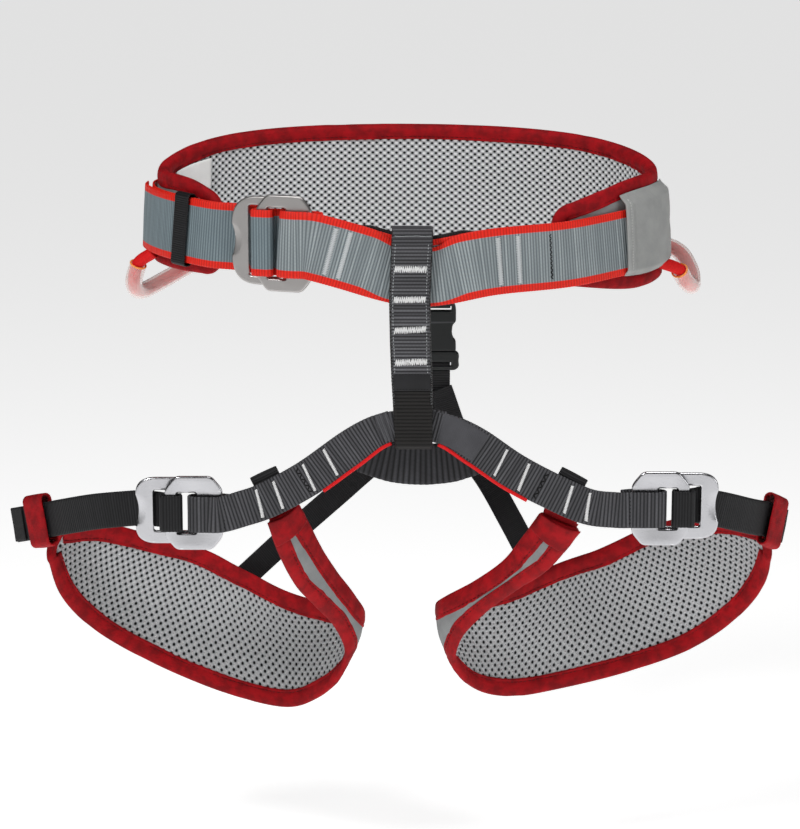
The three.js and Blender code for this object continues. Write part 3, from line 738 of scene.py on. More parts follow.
def waist_surface(u, w):
    part = np.clip(u, 0, 1)
    edge = WAIST_LINE.at(part)
    height = edge[..., 1] * (1 - w) + edge[..., 2] * w
    return waist_point(edge[..., 0] + (u - part) * WAIST_SWEEP, height)


def out_of(surface, u, w, side):
    step = 1e-3
    along = surface(u + step, w) - surface(u - step, w)
    down = surface(u, w + step) - surface(u, w - step)
    return unit(np.cross(along, down)) * side


def leg_surface(top, bottom, side):
    top_line, bottom_line = Line(top), Line(bottom)

    def flat(u, w):
        part = np.clip(u, 0, 1)
        w = np.asarray(w, float)[..., None]
        return top_line.at(part) * (1 - w) + bottom_line.at(part) * w

    def surface(u, w):
        u, w = np.broadcast_arrays(np.asarray(u, float), np.asarray(w, float))
        bulge = LEG_BULGE * 4 * w * (1 - w)
        return flat(u, w) + out_of(flat, u, np.full_like(u, 0.5), side) * bulge[..., None]

    return surface


class Pad:
    """A padded strip. Spots on it are (s, t): distances along its middle line, and across it from that line."""

    def __init__(self, surface, side, lining, start_corner, end_corner, tape):
        self.surface, self.side, self.lining, self.tape = surface, side, lining, tape
        self.start_corner, self.end_corner = start_corner, end_corner
        self.u = np.linspace(0, 1, 500)
        middle = surface(self.u, np.full_like(self.u, 0.5))
        self.s = np.concatenate([[0], np.cumsum(np.linalg.norm(np.diff(middle, axis=0), axis=1))])
        self.half = np.linalg.norm(
            surface(self.u, np.zeros_like(self.u)) - surface(self.u, np.ones_like(self.u)), axis=1) / 2
        self.length = self.s[-1]

    def half_at(self, s):
        return np.interp(s, self.s, self.half)

    def place(self, s, t, lift):
        s, t, lift = np.broadcast_arrays(*(np.asarray(a, float) for a in (s, t, lift)))
        u = np.interp(s, self.s, self.u)
        w = 0.5 + t / (2 * self.half_at(s))
        return self.surface(u, w) + out_of(self.surface, u, w, self.side) * lift[..., None]

    def inset(self, s, t):
        """How far inside the rounded outline a spot is."""
        dy = self.half_at(s) - np.abs(t)
        corner = np.where(s < self.length / 2, self.start_corner, self.end_corner)
        dx = np.minimum(s, self.length - s)
        round_off = corner - np.hypot(np.maximum(corner - dx, 0), np.maximum(corner - dy, 0))
        return np.where((dx < corner) & (dy < corner), round_off, np.minimum(dx, dy))

    def crown(self, s, t):
        """How far the foam swells beyond its edge thickness, on the inner and the outer face."""
        rise = 1 - np.exp(-np.maximum(self.inset(s, t) - (self.tape - 2.5), 0) / 9)
        soft = wander(s, t, 5, 34) * 0.55 + wander(s, t, 6, 13) * 0.2
        return rise * (0.9 + soft), rise * (0.5 + soft * 0.8)

    def tuck(self, s, t):
        """How far the fabric sinks where the edge tape covers it."""
        return 0.9 * (1 - np.clip((self.inset(s, t) - (self.tape - 2.5)) / 2, 0, 1))

    def outline(self, step):
        """Evenly spaced spots round the edge, with each one's inward direction and deepest safe inset."""
        a, b = self.start_corner, self.end_corner
        turn = np.linspace(0, math.pi / 2, 14)
        last = self.length
        top = np.linspace(a, last - b, 500)
        h0, h1 = self.half_at(a), self.half_at(last - b)
        s = [top, last - b + b * np.sin(turn)]
        t = [-self.half_at(top), -h1 + b - b * np.cos(turn)]
        s += [last - b + b * np.cos(turn), top[::-1], a - a * np.sin(turn), a - a * np.cos(turn)]
        t += [h1 - b + b * np.sin(turn), self.half_at(top[::-1])]
        t += [h0 - a + a * np.cos(turn), -h0 + a - a * np.sin(turn)]
        s, t = np.concatenate(s), np.concatenate(t)
        keep = np.concatenate([[True], np.hypot(np.diff(s), np.diff(t)) > 1e-6])
        s, t = s[keep], t[keep]
        s, t = np.append(s, s[0]), np.append(t, t[0])
        spots = self.place(s, t, 0)
        reach = np.concatenate([[0], np.cumsum(np.linalg.norm(np.diff(spots, axis=0), axis=1))])
        count = int(reach[-1] / step)
        even = np.arange(count) * reach[-1] / count
        s, t = np.interp(even, reach, s), np.interp(even, reach, t)
        ds, dt = np.roll(s, -2) - np.roll(s, 2), np.roll(t, -2) - np.roll(t, 2)
        size = np.hypot(ds, dt)
        corner = np.where(s < self.length / 2, a, b)
        near_end = np.minimum(s, self.length - s) < corner
        safe = np.where(near_end, corner * 0.93, self.half_at(s) * 0.93)
        return s, t, -dt / size, ds / size, even, reach[-1], safe


# The binding's section: the distance in from the edge, the height as a share of the lining where it is below 0
# or of the cover where it is above, and a further rise
BINDING_PROFILE = [
    (9.5, -1.0, 0.2), (9.45, -1.0, -0.35), (9.1, -1.0, -0.75), (8.4, -1.0, -0.8), (7.7, -1.0, -0.45),
    (7.0, -1.0, -0.85), (5.2, -1.0, -1.1), (3.2, -1.0, -0.95), (1.6, -0.95, -0.3), (0.6, -0.75, 0.0),
    (0.05, -0.4, 0.0), (0.0, 0.0, 0.0), (0.25, 0.6, 0.0), (0.9, 1.0, 0.2), (2.2, 1.0, 0.75), (4.2, 1.0, 1.0),
    (6.2, 1.0, 0.95), (7.0, 1.0, 0.75), (7.7, 1.0, 0.4), (8.4, 1.0, 0.7), (9.1, 1.0, 0.65), (9.45, 1.0, 0.3),
    (9.5, 1.0, -0.2),
]


def make_binding(name, pad, seed):
    s, t, ns, nt, even, total, safe = pad.outline(1.5)
    depth, share, extra = np.array(BINDING_PROFILE).T
    seam = SEAM_INSET * pad.tape / BINDING_WIDTH
    depth = depth * (1 + (pad.tape / BINDING_WIDTH - 1) * np.clip(depth / 4, 0, 1))
    inset = np.minimum(depth[None, :], safe[:, None])
    base = np.where(share < 0, share * pad.lining, share * COVER) + extra
    across = np.concatenate([[0], np.cumsum(np.hypot(np.diff(depth), np.diff(base)))])
    outside = np.where(np.arange(len(depth)) < 11, -1.0, 1.0) * np.minimum(depth / 2.5, 1)
    position = even[:, None]
    pucker = 0.34 * wander(position, across * 0.35, seed, 5.5) + 0.5 * wander(position, across, seed + 1, 17)
    pucker += 0.16 * wander(position, across * 0.5, seed + 2, 2.6)
    near_seam = np.exp(-((depth - seam) / 2.2) ** 2)
    pucker *= (0.65 + 0.6 * near_seam)[None, :]
    lift = base[None, :] + pucker * outside[None, :]
    inset = inset + 0.3 * wander(position, 3, seed + 3, 21) * (depth > 8)[None, :] * (safe > 9.4)[:, None]
    edge_wave = 0.35 * wander(position, 7, seed + 4, 12) * (depth < 2)[None, :]
    inset = inset + np.maximum(edge_wave, 0)
    s_spots, t_spots = s[:, None] + ns[:, None] * inset, t[:, None] + nt[:, None] * inset
    inner, outer = pad.crown(s_spots, t_spots)
    lift = lift + np.where(share < 0, -inner, outer)
    points = pad.place(s_spots, t_spots, lift)
    cloth = np.stack(np.broadcast_arrays(
        np.append(even, total)[:, None], np.append(across, across[-1] + 4)[None, :]), -1)
    return grid(name, points, cloth, "binding", ring=True, loop=True)


def seam_stitches(name, pad):
    """The row of stitches that holds the binding, on both faces."""
    pitch, length, radius = 3.4, 2.5, 0.28
    inset = SEAM_INSET * pad.tape / BINDING_WIDTH
    s, t, ns, nt, even, total, safe = pad.outline(0.5)
    starts = np.arange(0, total - pitch, pitch)
    ends = starts + length

    def spots(distance, lift):
        a = np.interp(distance, even, s + ns * np.minimum(inset, safe))
        b = np.interp(distance, even, t + nt * np.minimum(inset, safe))
        return pad.place(a, b, lift)

    low, high = -pad.lining - 0.55, COVER + 0.5
    halves = []
    for lift, way in ((low, -1), (high, 1)):
        one, other = spots(starts, lift), spots(ends, lift)
        normal = unit(spots((starts + ends) / 2, lift + way) - spots((starts + ends) / 2, lift))
        halves.append((one, other, normal))
    return stitches(name, *gathered(halves), radius, "crimson_thread")


HOLE_POINTS = 10


def make_lining(name, pad, across_pitch, along_pitch, hole):
    """The knitted spacer mesh: staggered oval holes with raised knots between them, over the foam."""
    depth = 1.5
    half_a, half_b = along_pitch / 2, across_pitch / 2
    columns = int(pad.length / half_a) + 1
    rows = int(pad.half.max() * 2 / across_pitch) + 2
    i, j = np.meshgrid(np.arange(columns), np.arange(-rows, rows + 1), indexing="ij")
    s, t = i * half_a, j * across_pitch + (i % 2) * half_b
    inside = pad.inset(s, t) > 5.5
    centres = np.stack([s[inside], t[inside]], -1)
    # a cell of the staggered lattice is a hexagon, whose slanted sides have a dip in the middle
    tip = (half_a**2 + half_b**2) / (2 * half_a)
    side = half_a - tip
    dip = (tip + side) / 2, half_b / 2
    ring = np.array([
        (tip, 0), dip, (side, half_b), (-side, half_b), (-dip[0], dip[1]),
        (-tip, 0), (-dip[0], -dip[1]), (-side, -half_b), (side, -half_b), (dip[0], -dip[1])])
    raised = np.array([1, 0.25, 1, 1, 0.25, 1, 0.25, 1, 1, 0.25])
    angle = np.arctan2(ring[:, 1], ring[:, 0])
    rim = np.stack([np.cos(angle) * hole[0], np.sin(angle) * hole[1]], -1)
    count = len(centres)
    outer = centres[:, None] + ring[None]
    key = np.round(outer.reshape(-1, 2) / 0.02).astype(int)
    _, first, shared = np.unique(key, axis=0, return_index=True, return_inverse=True)
    shared = shared.reshape(count, HOLE_POINTS)
    outer_spots = outer.reshape(-1, 2)[first]
    outer_raised = np.tile(raised, count)[first]
    jitter = np.random.default_rng(11).normal(0, 0.08, (count, 1, 2))
    inner_spots = (centres[:, None] + rim[None] + jitter).reshape(-1, 2)
    flat = np.concatenate([outer_spots, inner_spots, centres + jitter[:, 0], outer_spots])
    rims, backing = len(inner_spots), np.zeros(len(outer_spots))
    relief = np.concatenate([outer_raised * 0.55 - 0.2, np.full(rims, -0.1), np.full(count, -depth), backing])
    swelling = pad.crown(flat[:, 0], flat[:, 1])[0]
    front = -(pad.lining - 0.4 + swelling + relief - pad.tuck(flat[:, 0], flat[:, 1]))
    lift = np.where(np.arange(len(flat)) >= len(flat) - len(outer_spots), -0.3, front)
    points = pad.place(flat[:, 0], flat[:, 1], lift)
    rim_start, centre_start = len(outer_spots), len(outer_spots) + len(inner_spots)
    back_start = centre_start + count
    faces, corners = [], []
    rim_index = rim_start + np.arange(count * HOLE_POINTS).reshape(count, HOLE_POINTS)
    after = np.roll(np.arange(HOLE_POINTS), -1)
    quads = np.stack([shared, shared[:, after], rim_index[:, after], rim_index], -1).reshape(-1, 4)
    middle = np.repeat(centre_start + np.arange(count), HOLE_POINTS)
    triangles = np.stack([rim_index.reshape(-1), rim_index[:, after].reshape(-1), middle], -1)
    backs = shared[:, ::-1] + back_start
    edges = np.stack([shared, shared[:, after]], -1).reshape(-1, 2)
    ordered = np.sort(edges, 1)
    _, index, uses = np.unique(ordered, axis=0, return_inverse=True, return_counts=True)
    border = edges[uses[index.reshape(-1)] == 1]
    skirts = np.stack([border[:, 1], border[:, 0], border[:, 0] + back_start, border[:, 1] + back_start], -1)
    for group in (quads, triangles, backs, skirts):
        faces.extend(group.tolist())
        corners.append(flat[group.reshape(-1)])
    piece = make_mesh(name, points, faces, np.concatenate(corners), "spacer")
    # The hole and knot attributes place the painted hole shade and the painted knot highlight.
    holes = np.concatenate([np.zeros(rim_start + rims), np.ones(count), backing])
    knots = np.concatenate([outer_raised, np.full(rims, 0.3), np.zeros(count), backing])
    for label, values in (("hole", holes), ("knot", knots)):
        layer = piece.data.attributes.new(label, "FLOAT", "POINT")
        layer.data.foreach_set("value", values.astype(np.float32))
    return piece


def make_cover(name, pad):
    rows, columns = int(pad.length / 2.5), 44

    def place(x, y, lift):
        s = 5.5 + x * (pad.length - 11)
        t = (y * 2 - 1) * np.maximum(pad.half_at(s) - 5.5, 1.0)
        s, t = np.broadcast_arrays(s, t)
        outer = pad.crown(s, t)[1] - pad.tuck(s, t)
        points = pad.place(s, t, np.where(lift > 1, lift + outer, lift))
        return points, np.stack([s, t], -1)

    return slab(name, place, "cover", rows, columns, (0.3, COVER + 0.3), edge=0.9)


PADS = {
    "waist": Pad(waist_surface, 1, WAIST_LINING, 15, 15, 10.5),
    "left": Pad(leg_surface(LEFT_PAD_TOP, LEFT_PAD_BOTTOM, 1), 1, LEG_LINING, 7, 5, 12.8),
    "right": Pad(leg_surface(RIGHT_PAD_TOP, RIGHT_PAD_BOTTOM, -1), -1, LEG_LINING, 6.5, 5, 12.8),
}
PAD_BODIES = {"waist": "waist_belt", "left": "left_leg", "right": "right_leg"}
MESH_PITCH = {"waist": (4.75, 5.85), "left": (7.0, 5.5), "right": (7.0, 5.5)}
MESH_HOLE = {"waist": (1.28, 1.02), "left": (1.25, 1.6), "right": (1.25, 1.6)}

for key, pad in PADS.items():
    prefix = "waist_" if key == "waist" else f"{key}_pad_"
    body = PAD_BODIES[key]
    foam = make_lining(f"{prefix}spacer_mesh", pad, *MESH_PITCH[key], hole=MESH_HOLE[key])
    settle(foam, body, "spacer_mesh", f"{prefix}lining")
    outer = make_cover(f"{prefix}outer_fabric", pad)
    settle(outer, body, "cover_fabric", f"{prefix}cover")
    skin = float(np.trapz(2 * pad.half, pad.s))
    settle(make_binding(f"{prefix}edge_tape", pad, 20 + len(key)), body, "binding_tape", f"{prefix}binding")
    settle(seam_stitches(f"{prefix}edge_stitches", pad), body, "binding_tape")


# ---------- frames for straps and buckles ----------

def plane_frame(origin, right, top, across, path, closed=True):
    """Frames along a path drawn in a plane, with the strap's width square to it, and the path's length.
    A closed path runs clockwise."""
    origin, right, top, across, path = (np.asarray(a, float) for a in (origin, right, top, across, path))
    if closed:
        path = np.concatenate([path, path[:1]])
    reach = np.concatenate([[0], np.cumsum(np.linalg.norm(np.diff(path, axis=0), axis=1))])
    total = reach[-1]

    def at(d):
        d = np.mod(d, total) if closed else np.clip(d, 0, total)
        return np.stack([np.interp(d, reach, path[:, k]) for k in (0, 1)], -1)

    def world(v):
        return v[:, :1] * right + v[:, 1:] * top

    def frame(s):
        ahead, behind = (s + 0.5, s - 0.5) if closed else (np.minimum(s + 0.5, total), np.maximum(s - 0.5, 0))
        here, tangent = at(s), unit(at(ahead) - at(behind))
        normal = np.stack([-tangent[:, 1], tangent[:, 0]], -1)
        return origin + world(here), world(tangent), world(normal), np.broadcast_to(across, (len(s), 3))

    return frame, total


def oblong(x0, x1, y0, y1, corner):
    """A rounded rectangle, clockwise from its bottom left."""
    turn = np.linspace(0, math.pi / 2, 8)
    spots = []
    for cx, cy, start in ((x0, y0, 1.5), (x0, y1, 1.0), (x1, y1, 0.5), (x1, y0, 0.0)):
        angle = start * math.pi - turn
        sx, sy = (1 if cx == x0 else -1), (1 if cy == y0 else -1)
        x, y = cx + sx * corner + corner * np.cos(angle), cy + sy * corner + corner * np.sin(angle)
        spots.append(np.stack([x, y], -1))
    return np.concatenate(spots)


def collar_frame(route, middle, body, reach, corner):
    """Frames round a strap at one distance along it. body and reach are how far they go outward and up."""
    point, along, outward, up = (a[0] for a in route.frame(np.array([middle])))
    return plane_frame(point, outward, up, along, oblong(*body, *reach, corner))


class Buckle:
    """Local x runs along the webbing from the front plate's free edge, y is up and z is out of the front."""

    def __init__(self, origin, turn, hand):
        self.origin = np.array(origin, float)
        cos, sin = math.cos(turn), math.sin(turn)
        self.axes = np.array([[cos * hand, sin * hand, 0], [0, 0, 1], [sin, -cos, 0]])

    def matrix(self):
        made = Matrix(self.axes.T.tolist()).to_4x4()
        made.translation = Vector(self.origin)
        return made

    def world(self, spots):
        return self.origin + np.asarray(spots, float) @ self.axes

    def frame(self, path):
        """Frames along a closed path drawn in the buckle's x and z, with the strap's width upright."""
        return plane_frame(self.origin, self.axes[0], self.axes[2], self.axes[1], path)


BUCKLES = {
    "waist": dict(
        buckle=Buckle([-102, -95, -6], math.radians(-19), 1), webbing=WAIST_WEBBING, rear=59, front=64,
        pitch=2.5, alloy="alloy", look="tail", body="waist_belt", slot="waist_webbing")}
for side, origin, hand in (("left", [-166, -88, -191], 1), ("right", [187, -88, -188], -1)):
    BUCKLES[side] = dict(
        buckle=Buckle(origin, 0.0, hand), webbing=LEG_WEBBING, rear=46, front=51, pitch=2.4,
        alloy="bright_alloy", look="dark", body=f"{side}_leg", slot="charcoal_webbing")
BAR_TURN = [
    (38, 5.2), (28, 5.6), (22, 5.3), (17.8, 3.3), (16.4, 0),
    (17.8, -3.3), (22, -5.3), (28, -5.8), (38, -5.4), (46, -2.6)]


def bar_turn(key):
    """A webbing's end: in front of the fixed bar, round it through the window, and back behind."""
    room = 1.1 if key == "waist" else 1
    return BUCKLES[key]["buckle"].world([(x, 0, z * room) for x, z in BAR_TURN]).tolist()


def buckle_pass(key):
    """Where a strap comes up from behind, through the rear plate's window, to the free bar."""
    path = [(11, -5.2), (4, -5.7), (-1, -7.3), (-5, -9.6), (-10, -11.4)]
    if key == "waist":
        path = [(27, -7.4), (19, -6.6)] + path
    return BUCKLES[key]["buckle"].world([(x, 0, z) for x, z in path]).tolist()


# ---------- waist belt ----------

def waist_spot(degrees, height, lift=0.0):
    return waist_point(degrees, height, lift).tolist()


def smooth(x, low, high):
    part = np.clip((np.asarray(x, float) - low) / (high - low), 0, 1)
    return part * part * (3 - 2 * part)


waist_route = Route([
    waist_spot(110, -6.8, 4.4), waist_spot(117, -9.6, 5.1), waist_spot(124, -11.4, 5.3),
    [104, -88, -15], [52, -107.5, -17.5], [20, -110.4, -23], [2, -111, -24], [-16, -111.6, -20.5],
    [-40, -112.7, -13.2], [-57, -113.2, -8.4],
] + bar_turn("waist"), lean=WAIST_FLARE)
at_x = waist_route.where_x
centre_at = at_x(2)


def pinch(s):
    """The belay loop draws the webbing's top edge down."""
    return 1 - smooth(np.abs(s - centre_at), 13, 34)


webbing = ribbon(
    "waist_webbing_front", waist_route, lambda s: WAIST_WEBBING - 1.2 - 5.6 * pinch(s), (-1.0, 1.1), "waist",
    2.1, 0.15, rise=lambda s: -2.8 * pinch(s), sway=0.4, seed=31)
settle(webbing, "waist_belt", "waist_webbing", "waist_webbing", "waist_anchor_loop")
inner_web = ribbon(
    "tie_in_second_layer", waist_route, WAIST_WEBBING - 3.5, (-2.9, -1.6), "waist", 2.1, 0.12,
    reach=(at_x(100), at_x(-47)), rise=0.7, sway=0.2, seed=33)
settle(inner_web, "waist_belt", "waist_webbing")
dark_web = ribbon(
    "tie_in_dark_backing", waist_route, WAIST_WEBBING - 6, (-4.2, -3.1), "dark", 1.9, 0.1,
    reach=(centre_at - 54, centre_at + 48), rise=lambda s: 4.3 - 3.4 * smooth(np.abs(s - centre_at), 34, 50),
    sway=0.2, seed=34)
settle(dark_web, "waist_belt", "black_webbing", "tie_in_backing")


def tacks(name, route, middles, reach, wide, pitch, radius, out, look, body, slant=0.0, bend=None):
    """Zigzag bar tacks across a strap, centred at these distances along it."""
    rows = []
    for middle in middles:
        place = lambda x, y: route.spot(middle + x + slant * y, out, y)
        one, other = zigzag(place, -reach, reach, wide, pitch)
        rows.append((one, other, np.broadcast_to(route.frame(np.array([middle]))[2][0], one.shape)))
    slot = "waist_webbing" if route is waist_route else "charcoal_webbing"
    settle(stitches(name, *gathered(rows), radius, look), body, slot, bend=bend)


tacks("waist_light_tacks", waist_route, [at_x(x) for x in (57.4, 70.3, -44, -53)], 15.6, 3.6, 0.55, 0.36, 1.3,
      "light_thread", "waist_belt")
tacks("waist_dark_tack", waist_route, [at_x(91.7)], 15, 1.6, 1.5, 0.42, 1.3, "black_thread", "waist_belt")

# The sleeve: a grey panel sewn over the webbing's outer end, with a folded hem at the front
SLEEVE_U = (0.765, 0.897)
SLEEVE_W = (0.1, 0.87)


def span(surface, u, w):
    """The length of a line drawn on a surface."""
    return float(np.linalg.norm(np.diff(surface(*np.broadcast_arrays(u, w)), axis=0), axis=1).sum())


SLEEVE_LONG = span(waist_surface, np.linspace(*SLEEVE_U, 60), 0.5)
SLEEVE_HIGH = span(waist_surface, sum(SLEEVE_U) / 2, np.linspace(*SLEEVE_W, 60))
HEM = 5.6
HEM_ROW = 3.4


def on_waist(u, w, lift):
    u, w, lift = np.broadcast_arrays(u, w, lift)
    return waist_surface(u, w) + out_of(waist_surface, u, w, 1) * lift[..., None]


def sleeve_place(x, y, lift):
    u = SLEEVE_U[0] + (SLEEVE_U[1] - SLEEVE_U[0]) * x
    w = SLEEVE_W[0] + (SLEEVE_W[1] - SLEEVE_W[0]) * y
    along = x * SLEEVE_LONG
    down = y * SLEEVE_HIGH
    from_front = SLEEVE_LONG - along
    hem = 0.9 * smooth(-from_front, -HEM - 0.8, -HEM + 0.4)
    groove = -0.35 * np.exp(-((from_front - HEM_ROW) / 0.7) ** 2)
    groove = groove - 0.45 * np.exp(-((from_front - HEM - 0.9) / 0.7) ** 2)
    hug = -5.2 * (1 - smooth(y, 0.0, 0.13)) - 3.8 * smooth(y, 0.92, 1.0)
    drape = 0.35 * wander(along, down, 41, 16) + 0.22 * wander(along, down, 42, 7)
    bow = 0.9 * np.sin(math.pi * np.clip(y, 0, 1))
    lift = lift + np.where(lift > 8.5, hem, 0) + groove + hug + drape + bow
    return on_waist(u, w, lift), np.stack(np.broadcast_arrays(along, down), -1)


sleeve = slab("webbing_sleeve_panel", sleeve_place, "sleeve", 90, 60, (8.1, 9.1))
settle(sleeve, "waist_belt", "cover_fabric", "webbing_sleeve")


def sleeve_row(x, count):
    y = np.linspace(0.06, 0.93, count)
    starts, _ = sleeve_place(np.full(count, x), y, np.full(count, 9.2))
    ends, _ = sleeve_place(np.full(count, x), y + 0.6 / count, np.full(count, 9.2))
    over, _ = sleeve_place(np.full(count, x), y, np.full(count, 10.2))
    return starts, ends, unit(over - starts)


rows = gathered([sleeve_row(1 - HEM_ROW / SLEEVE_LONG, 26), sleeve_row(0.06, 26)])
settle(stitches("webbing_sleeve_stitches", *rows, 0.28, "pale_thread"), "waist_belt", "cover_fabric")

CARE_U = (0.283, 0.341)
CARE_W = (0.13, 0.36)
CARE_LONG = span(waist_surface, np.linspace(*CARE_U, 20), 0.3)
CARE_HIGH = span(waist_surface, sum(CARE_U) / 2, np.linspace(*CARE_W, 20))


def label_place(x, y, lift):
    u = CARE_U[0] + (CARE_U[1] - CARE_U[0]) * x
    w = CARE_W[0] + (CARE_W[1] - CARE_W[0]) * y
    lift = lift - 0.9 * np.sin(math.pi * x) * np.sin(math.pi * np.clip(y, 0, 1)) - 0.5 * (x - 0.5)
    return on_waist(u, w, lift), np.stack(np.broadcast_arrays(x * CARE_LONG, y * CARE_HIGH), -1)


care = slab("blank_care_label", label_place, "label", 20, 12, (-7.3, -6.9), edge=0.4)
settle(care, "waist_belt", "label", "care_label")


# ---------- two-plate buckles ----------

PLATE = 3.0
FRONT_WINDOW = (8, 21)
REAR_WINDOW = (-8, 20)
REAR_LEFT = -20.5
REAR_RIGHT = 29.5
REAR_DEPTH = -8


def rounded(corners, radii, steps=6):
    """An outline with its corners rounded off."""
    corners = np.array(corners, float)
    radii = np.broadcast_to(radii, (len(corners),))
    made = []
    for i, corner in enumerate(corners):
        before, after = corners[i - 1] - corner, corners[(i + 1) % len(corners)] - corner
        long_a, long_b = np.linalg.norm(before), np.linalg.norm(after)
        cut = min(radii[i], long_a * 0.48, long_b * 0.48)
        a, b = corner + before / long_a * cut, corner + after / long_b * cut
        for f in np.linspace(0, 1, steps):
            made.append((1 - f) ** 2 * a + 2 * f * (1 - f) * corner + f**2 * b)
    return np.array(made)


def quadratic(start, control, end, steps=12):
    f = np.linspace(0, 1, steps)[:, None]
    return (1 - f) ** 2 * np.array(start) + 2 * f * (1 - f) * np.array(control) + f**2 * np.array(end)


def plate(name, outline, window, thickness, bevel, look, matrix, shape=None):
    """A forged plate with rounded edges and one window, drawn flat and then put in its place."""
    curve = bpy.data.curves.new(name, "CURVE")
    curve.dimensions = "2D"
    curve.fill_mode = "BOTH"
    for ring in (outline, window):
        if ring is None:
            continue
        spline = curve.splines.new("POLY")
        spline.points.add(len(ring) - 1)
        for point, (x, y) in zip(spline.points, ring):
            point.co = (x, y, 0, 1)
        spline.use_cyclic_u = True
    curve.extrude = thickness / 2 - bevel
    curve.bevel_depth = bevel
    curve.bevel_resolution = 3
    curve.offset = -bevel
    flat = bpy.data.objects.new(name, curve)
    bpy.context.scene.collection.objects.link(flat)
    bpy.context.view_layer.update()
    mesh = bpy.data.meshes.new_from_object(flat.evaluated_get(bpy.context.evaluated_depsgraph_get()))
    bpy.data.objects.remove(flat)
    bpy.data.curves.remove(curve)
    mesh.name = name
    work = bmesh.new()
    work.from_mesh(mesh)
    bmesh.ops.remove_doubles(work, verts=work.verts, dist=0.01)
    if shape:
        low, high = np.array(outline).min(0), np.array(outline).max(0)
        for axis in (0, 1):
            for cut in np.arange(low[axis] + 1.5, high[axis], 1.5):
                spot, normal = [0, 0, 0], [0, 0, 0]
                spot[axis], normal[axis] = cut, 1
                whole = work.verts[:] + work.edges[:] + work.faces[:]
                bmesh.ops.bisect_plane(work, geom=whole, plane_co=spot, plane_no=normal, dist=1e-4)
        for vertex in work.verts:
            vertex.co.z = shape(vertex.co.x, vertex.co.y, vertex.co.z)
    bmesh.ops.recalc_face_normals(work, faces=work.faces)
    work.to_mesh(mesh)
    work.free()
    mesh.transform(matrix)
    if matrix.determinant() < 0:
        mesh.flip_normals()
    mesh.transform(Matrix.Scale(MM, 4))
    mesh.polygons.foreach_set("use_smooth", [True] * len(mesh.polygons))
    mesh.set_sharp_from_angle(angle=math.radians(50))
    mesh.materials.clear()
    mesh.materials.append(MATERIALS[look])
    piece = bpy.data.objects.new(name, mesh)
    bpy.context.scene.collection.objects.link(piece)
    weighted = piece.modifiers.new("even_shading", "WEIGHTED_NORMAL")
    weighted.keep_sharp = True
    return piece


def front_outline(height):
    half, shoulder = height / 2, height / 2 - 10
    upper = [[0, shoulder], [1.6, shoulder + 3], [6.4, half - 1.2], [9, half], [30, half], [32.6, half - 1.2],
             [37.4, shoulder + 3], [39, shoulder]]
    lower = [[x, -y] for x, y in upper[::-1]]
    return rounded(upper + lower, [3, 3, 3, 4, 4, 3, 3, 3] * 2)


def rear_outline(height):
    half = height / 2
    corner, notch = half * 0.62, 8
    points = [np.array([[REAR_RIGHT - 5, -half]])]
    points.append(quadratic([REAR_RIGHT - 5, -half], [REAR_RIGHT, -half], [REAR_RIGHT, -half + 5]))
    points.append(quadratic([REAR_RIGHT, half - 5], [REAR_RIGHT, half], [REAR_RIGHT - 5, half]))
    points.append(quadratic([REAR_LEFT + corner, half], [REAR_LEFT, half], [REAR_LEFT, notch + 3]))
    points.append(quadratic([REAR_LEFT, notch + 3], [REAR_LEFT + 4, 0], [REAR_LEFT, -notch - 3], 16)[1:-1])
    points.append(quadratic([REAR_LEFT, -notch - 3], [REAR_LEFT, -half], [REAR_LEFT + corner, -half]))
    made = np.concatenate(points)
    keep = np.linalg.norm(made - np.roll(made, 1, axis=0), axis=1) > 1e-6
    return made[keep]


def window_outline(x0, x1, half):
    return rounded([[x0, -half], [x0, half], [x1, half], [x1, -half]], 1.6)


def oval(left, right, reach, steps=10):
    """The middle of a strap turned round a bar, clockwise from the bottom left."""
    turn = np.linspace(math.pi / 2, 3 * math.pi / 2, steps)
    start = np.stack([left + reach + reach * np.cos(turn), reach * np.sin(turn)], -1)
    end = np.stack([right - reach - reach * np.cos(turn), -reach * np.sin(turn)], -1)
    return np.concatenate([start[::-1], end[::-1]])


def notch_shape(x, y, z):
    """The thumb notch is dished: the metal falls away towards it on the front."""
    near = math.hypot((x - REAR_LEFT) / 7.5, y / 10.5)
    dish = 1.15 * max(0.0, 1 - near) ** 0.8 if near < 1 else 0.0
    return z - dish if z > 0 else z


def front_shape(x, y, z):
    """The front plate's ends are crowned, and its bars are rounded."""
    if z <= 0:
        return z
    return z + 0.5 * max(0.0, 1 - ((x - 19.5) / 17) ** 2) * min(1.0, max(0.0, (abs(y) - 14) / 8)) - 0.25


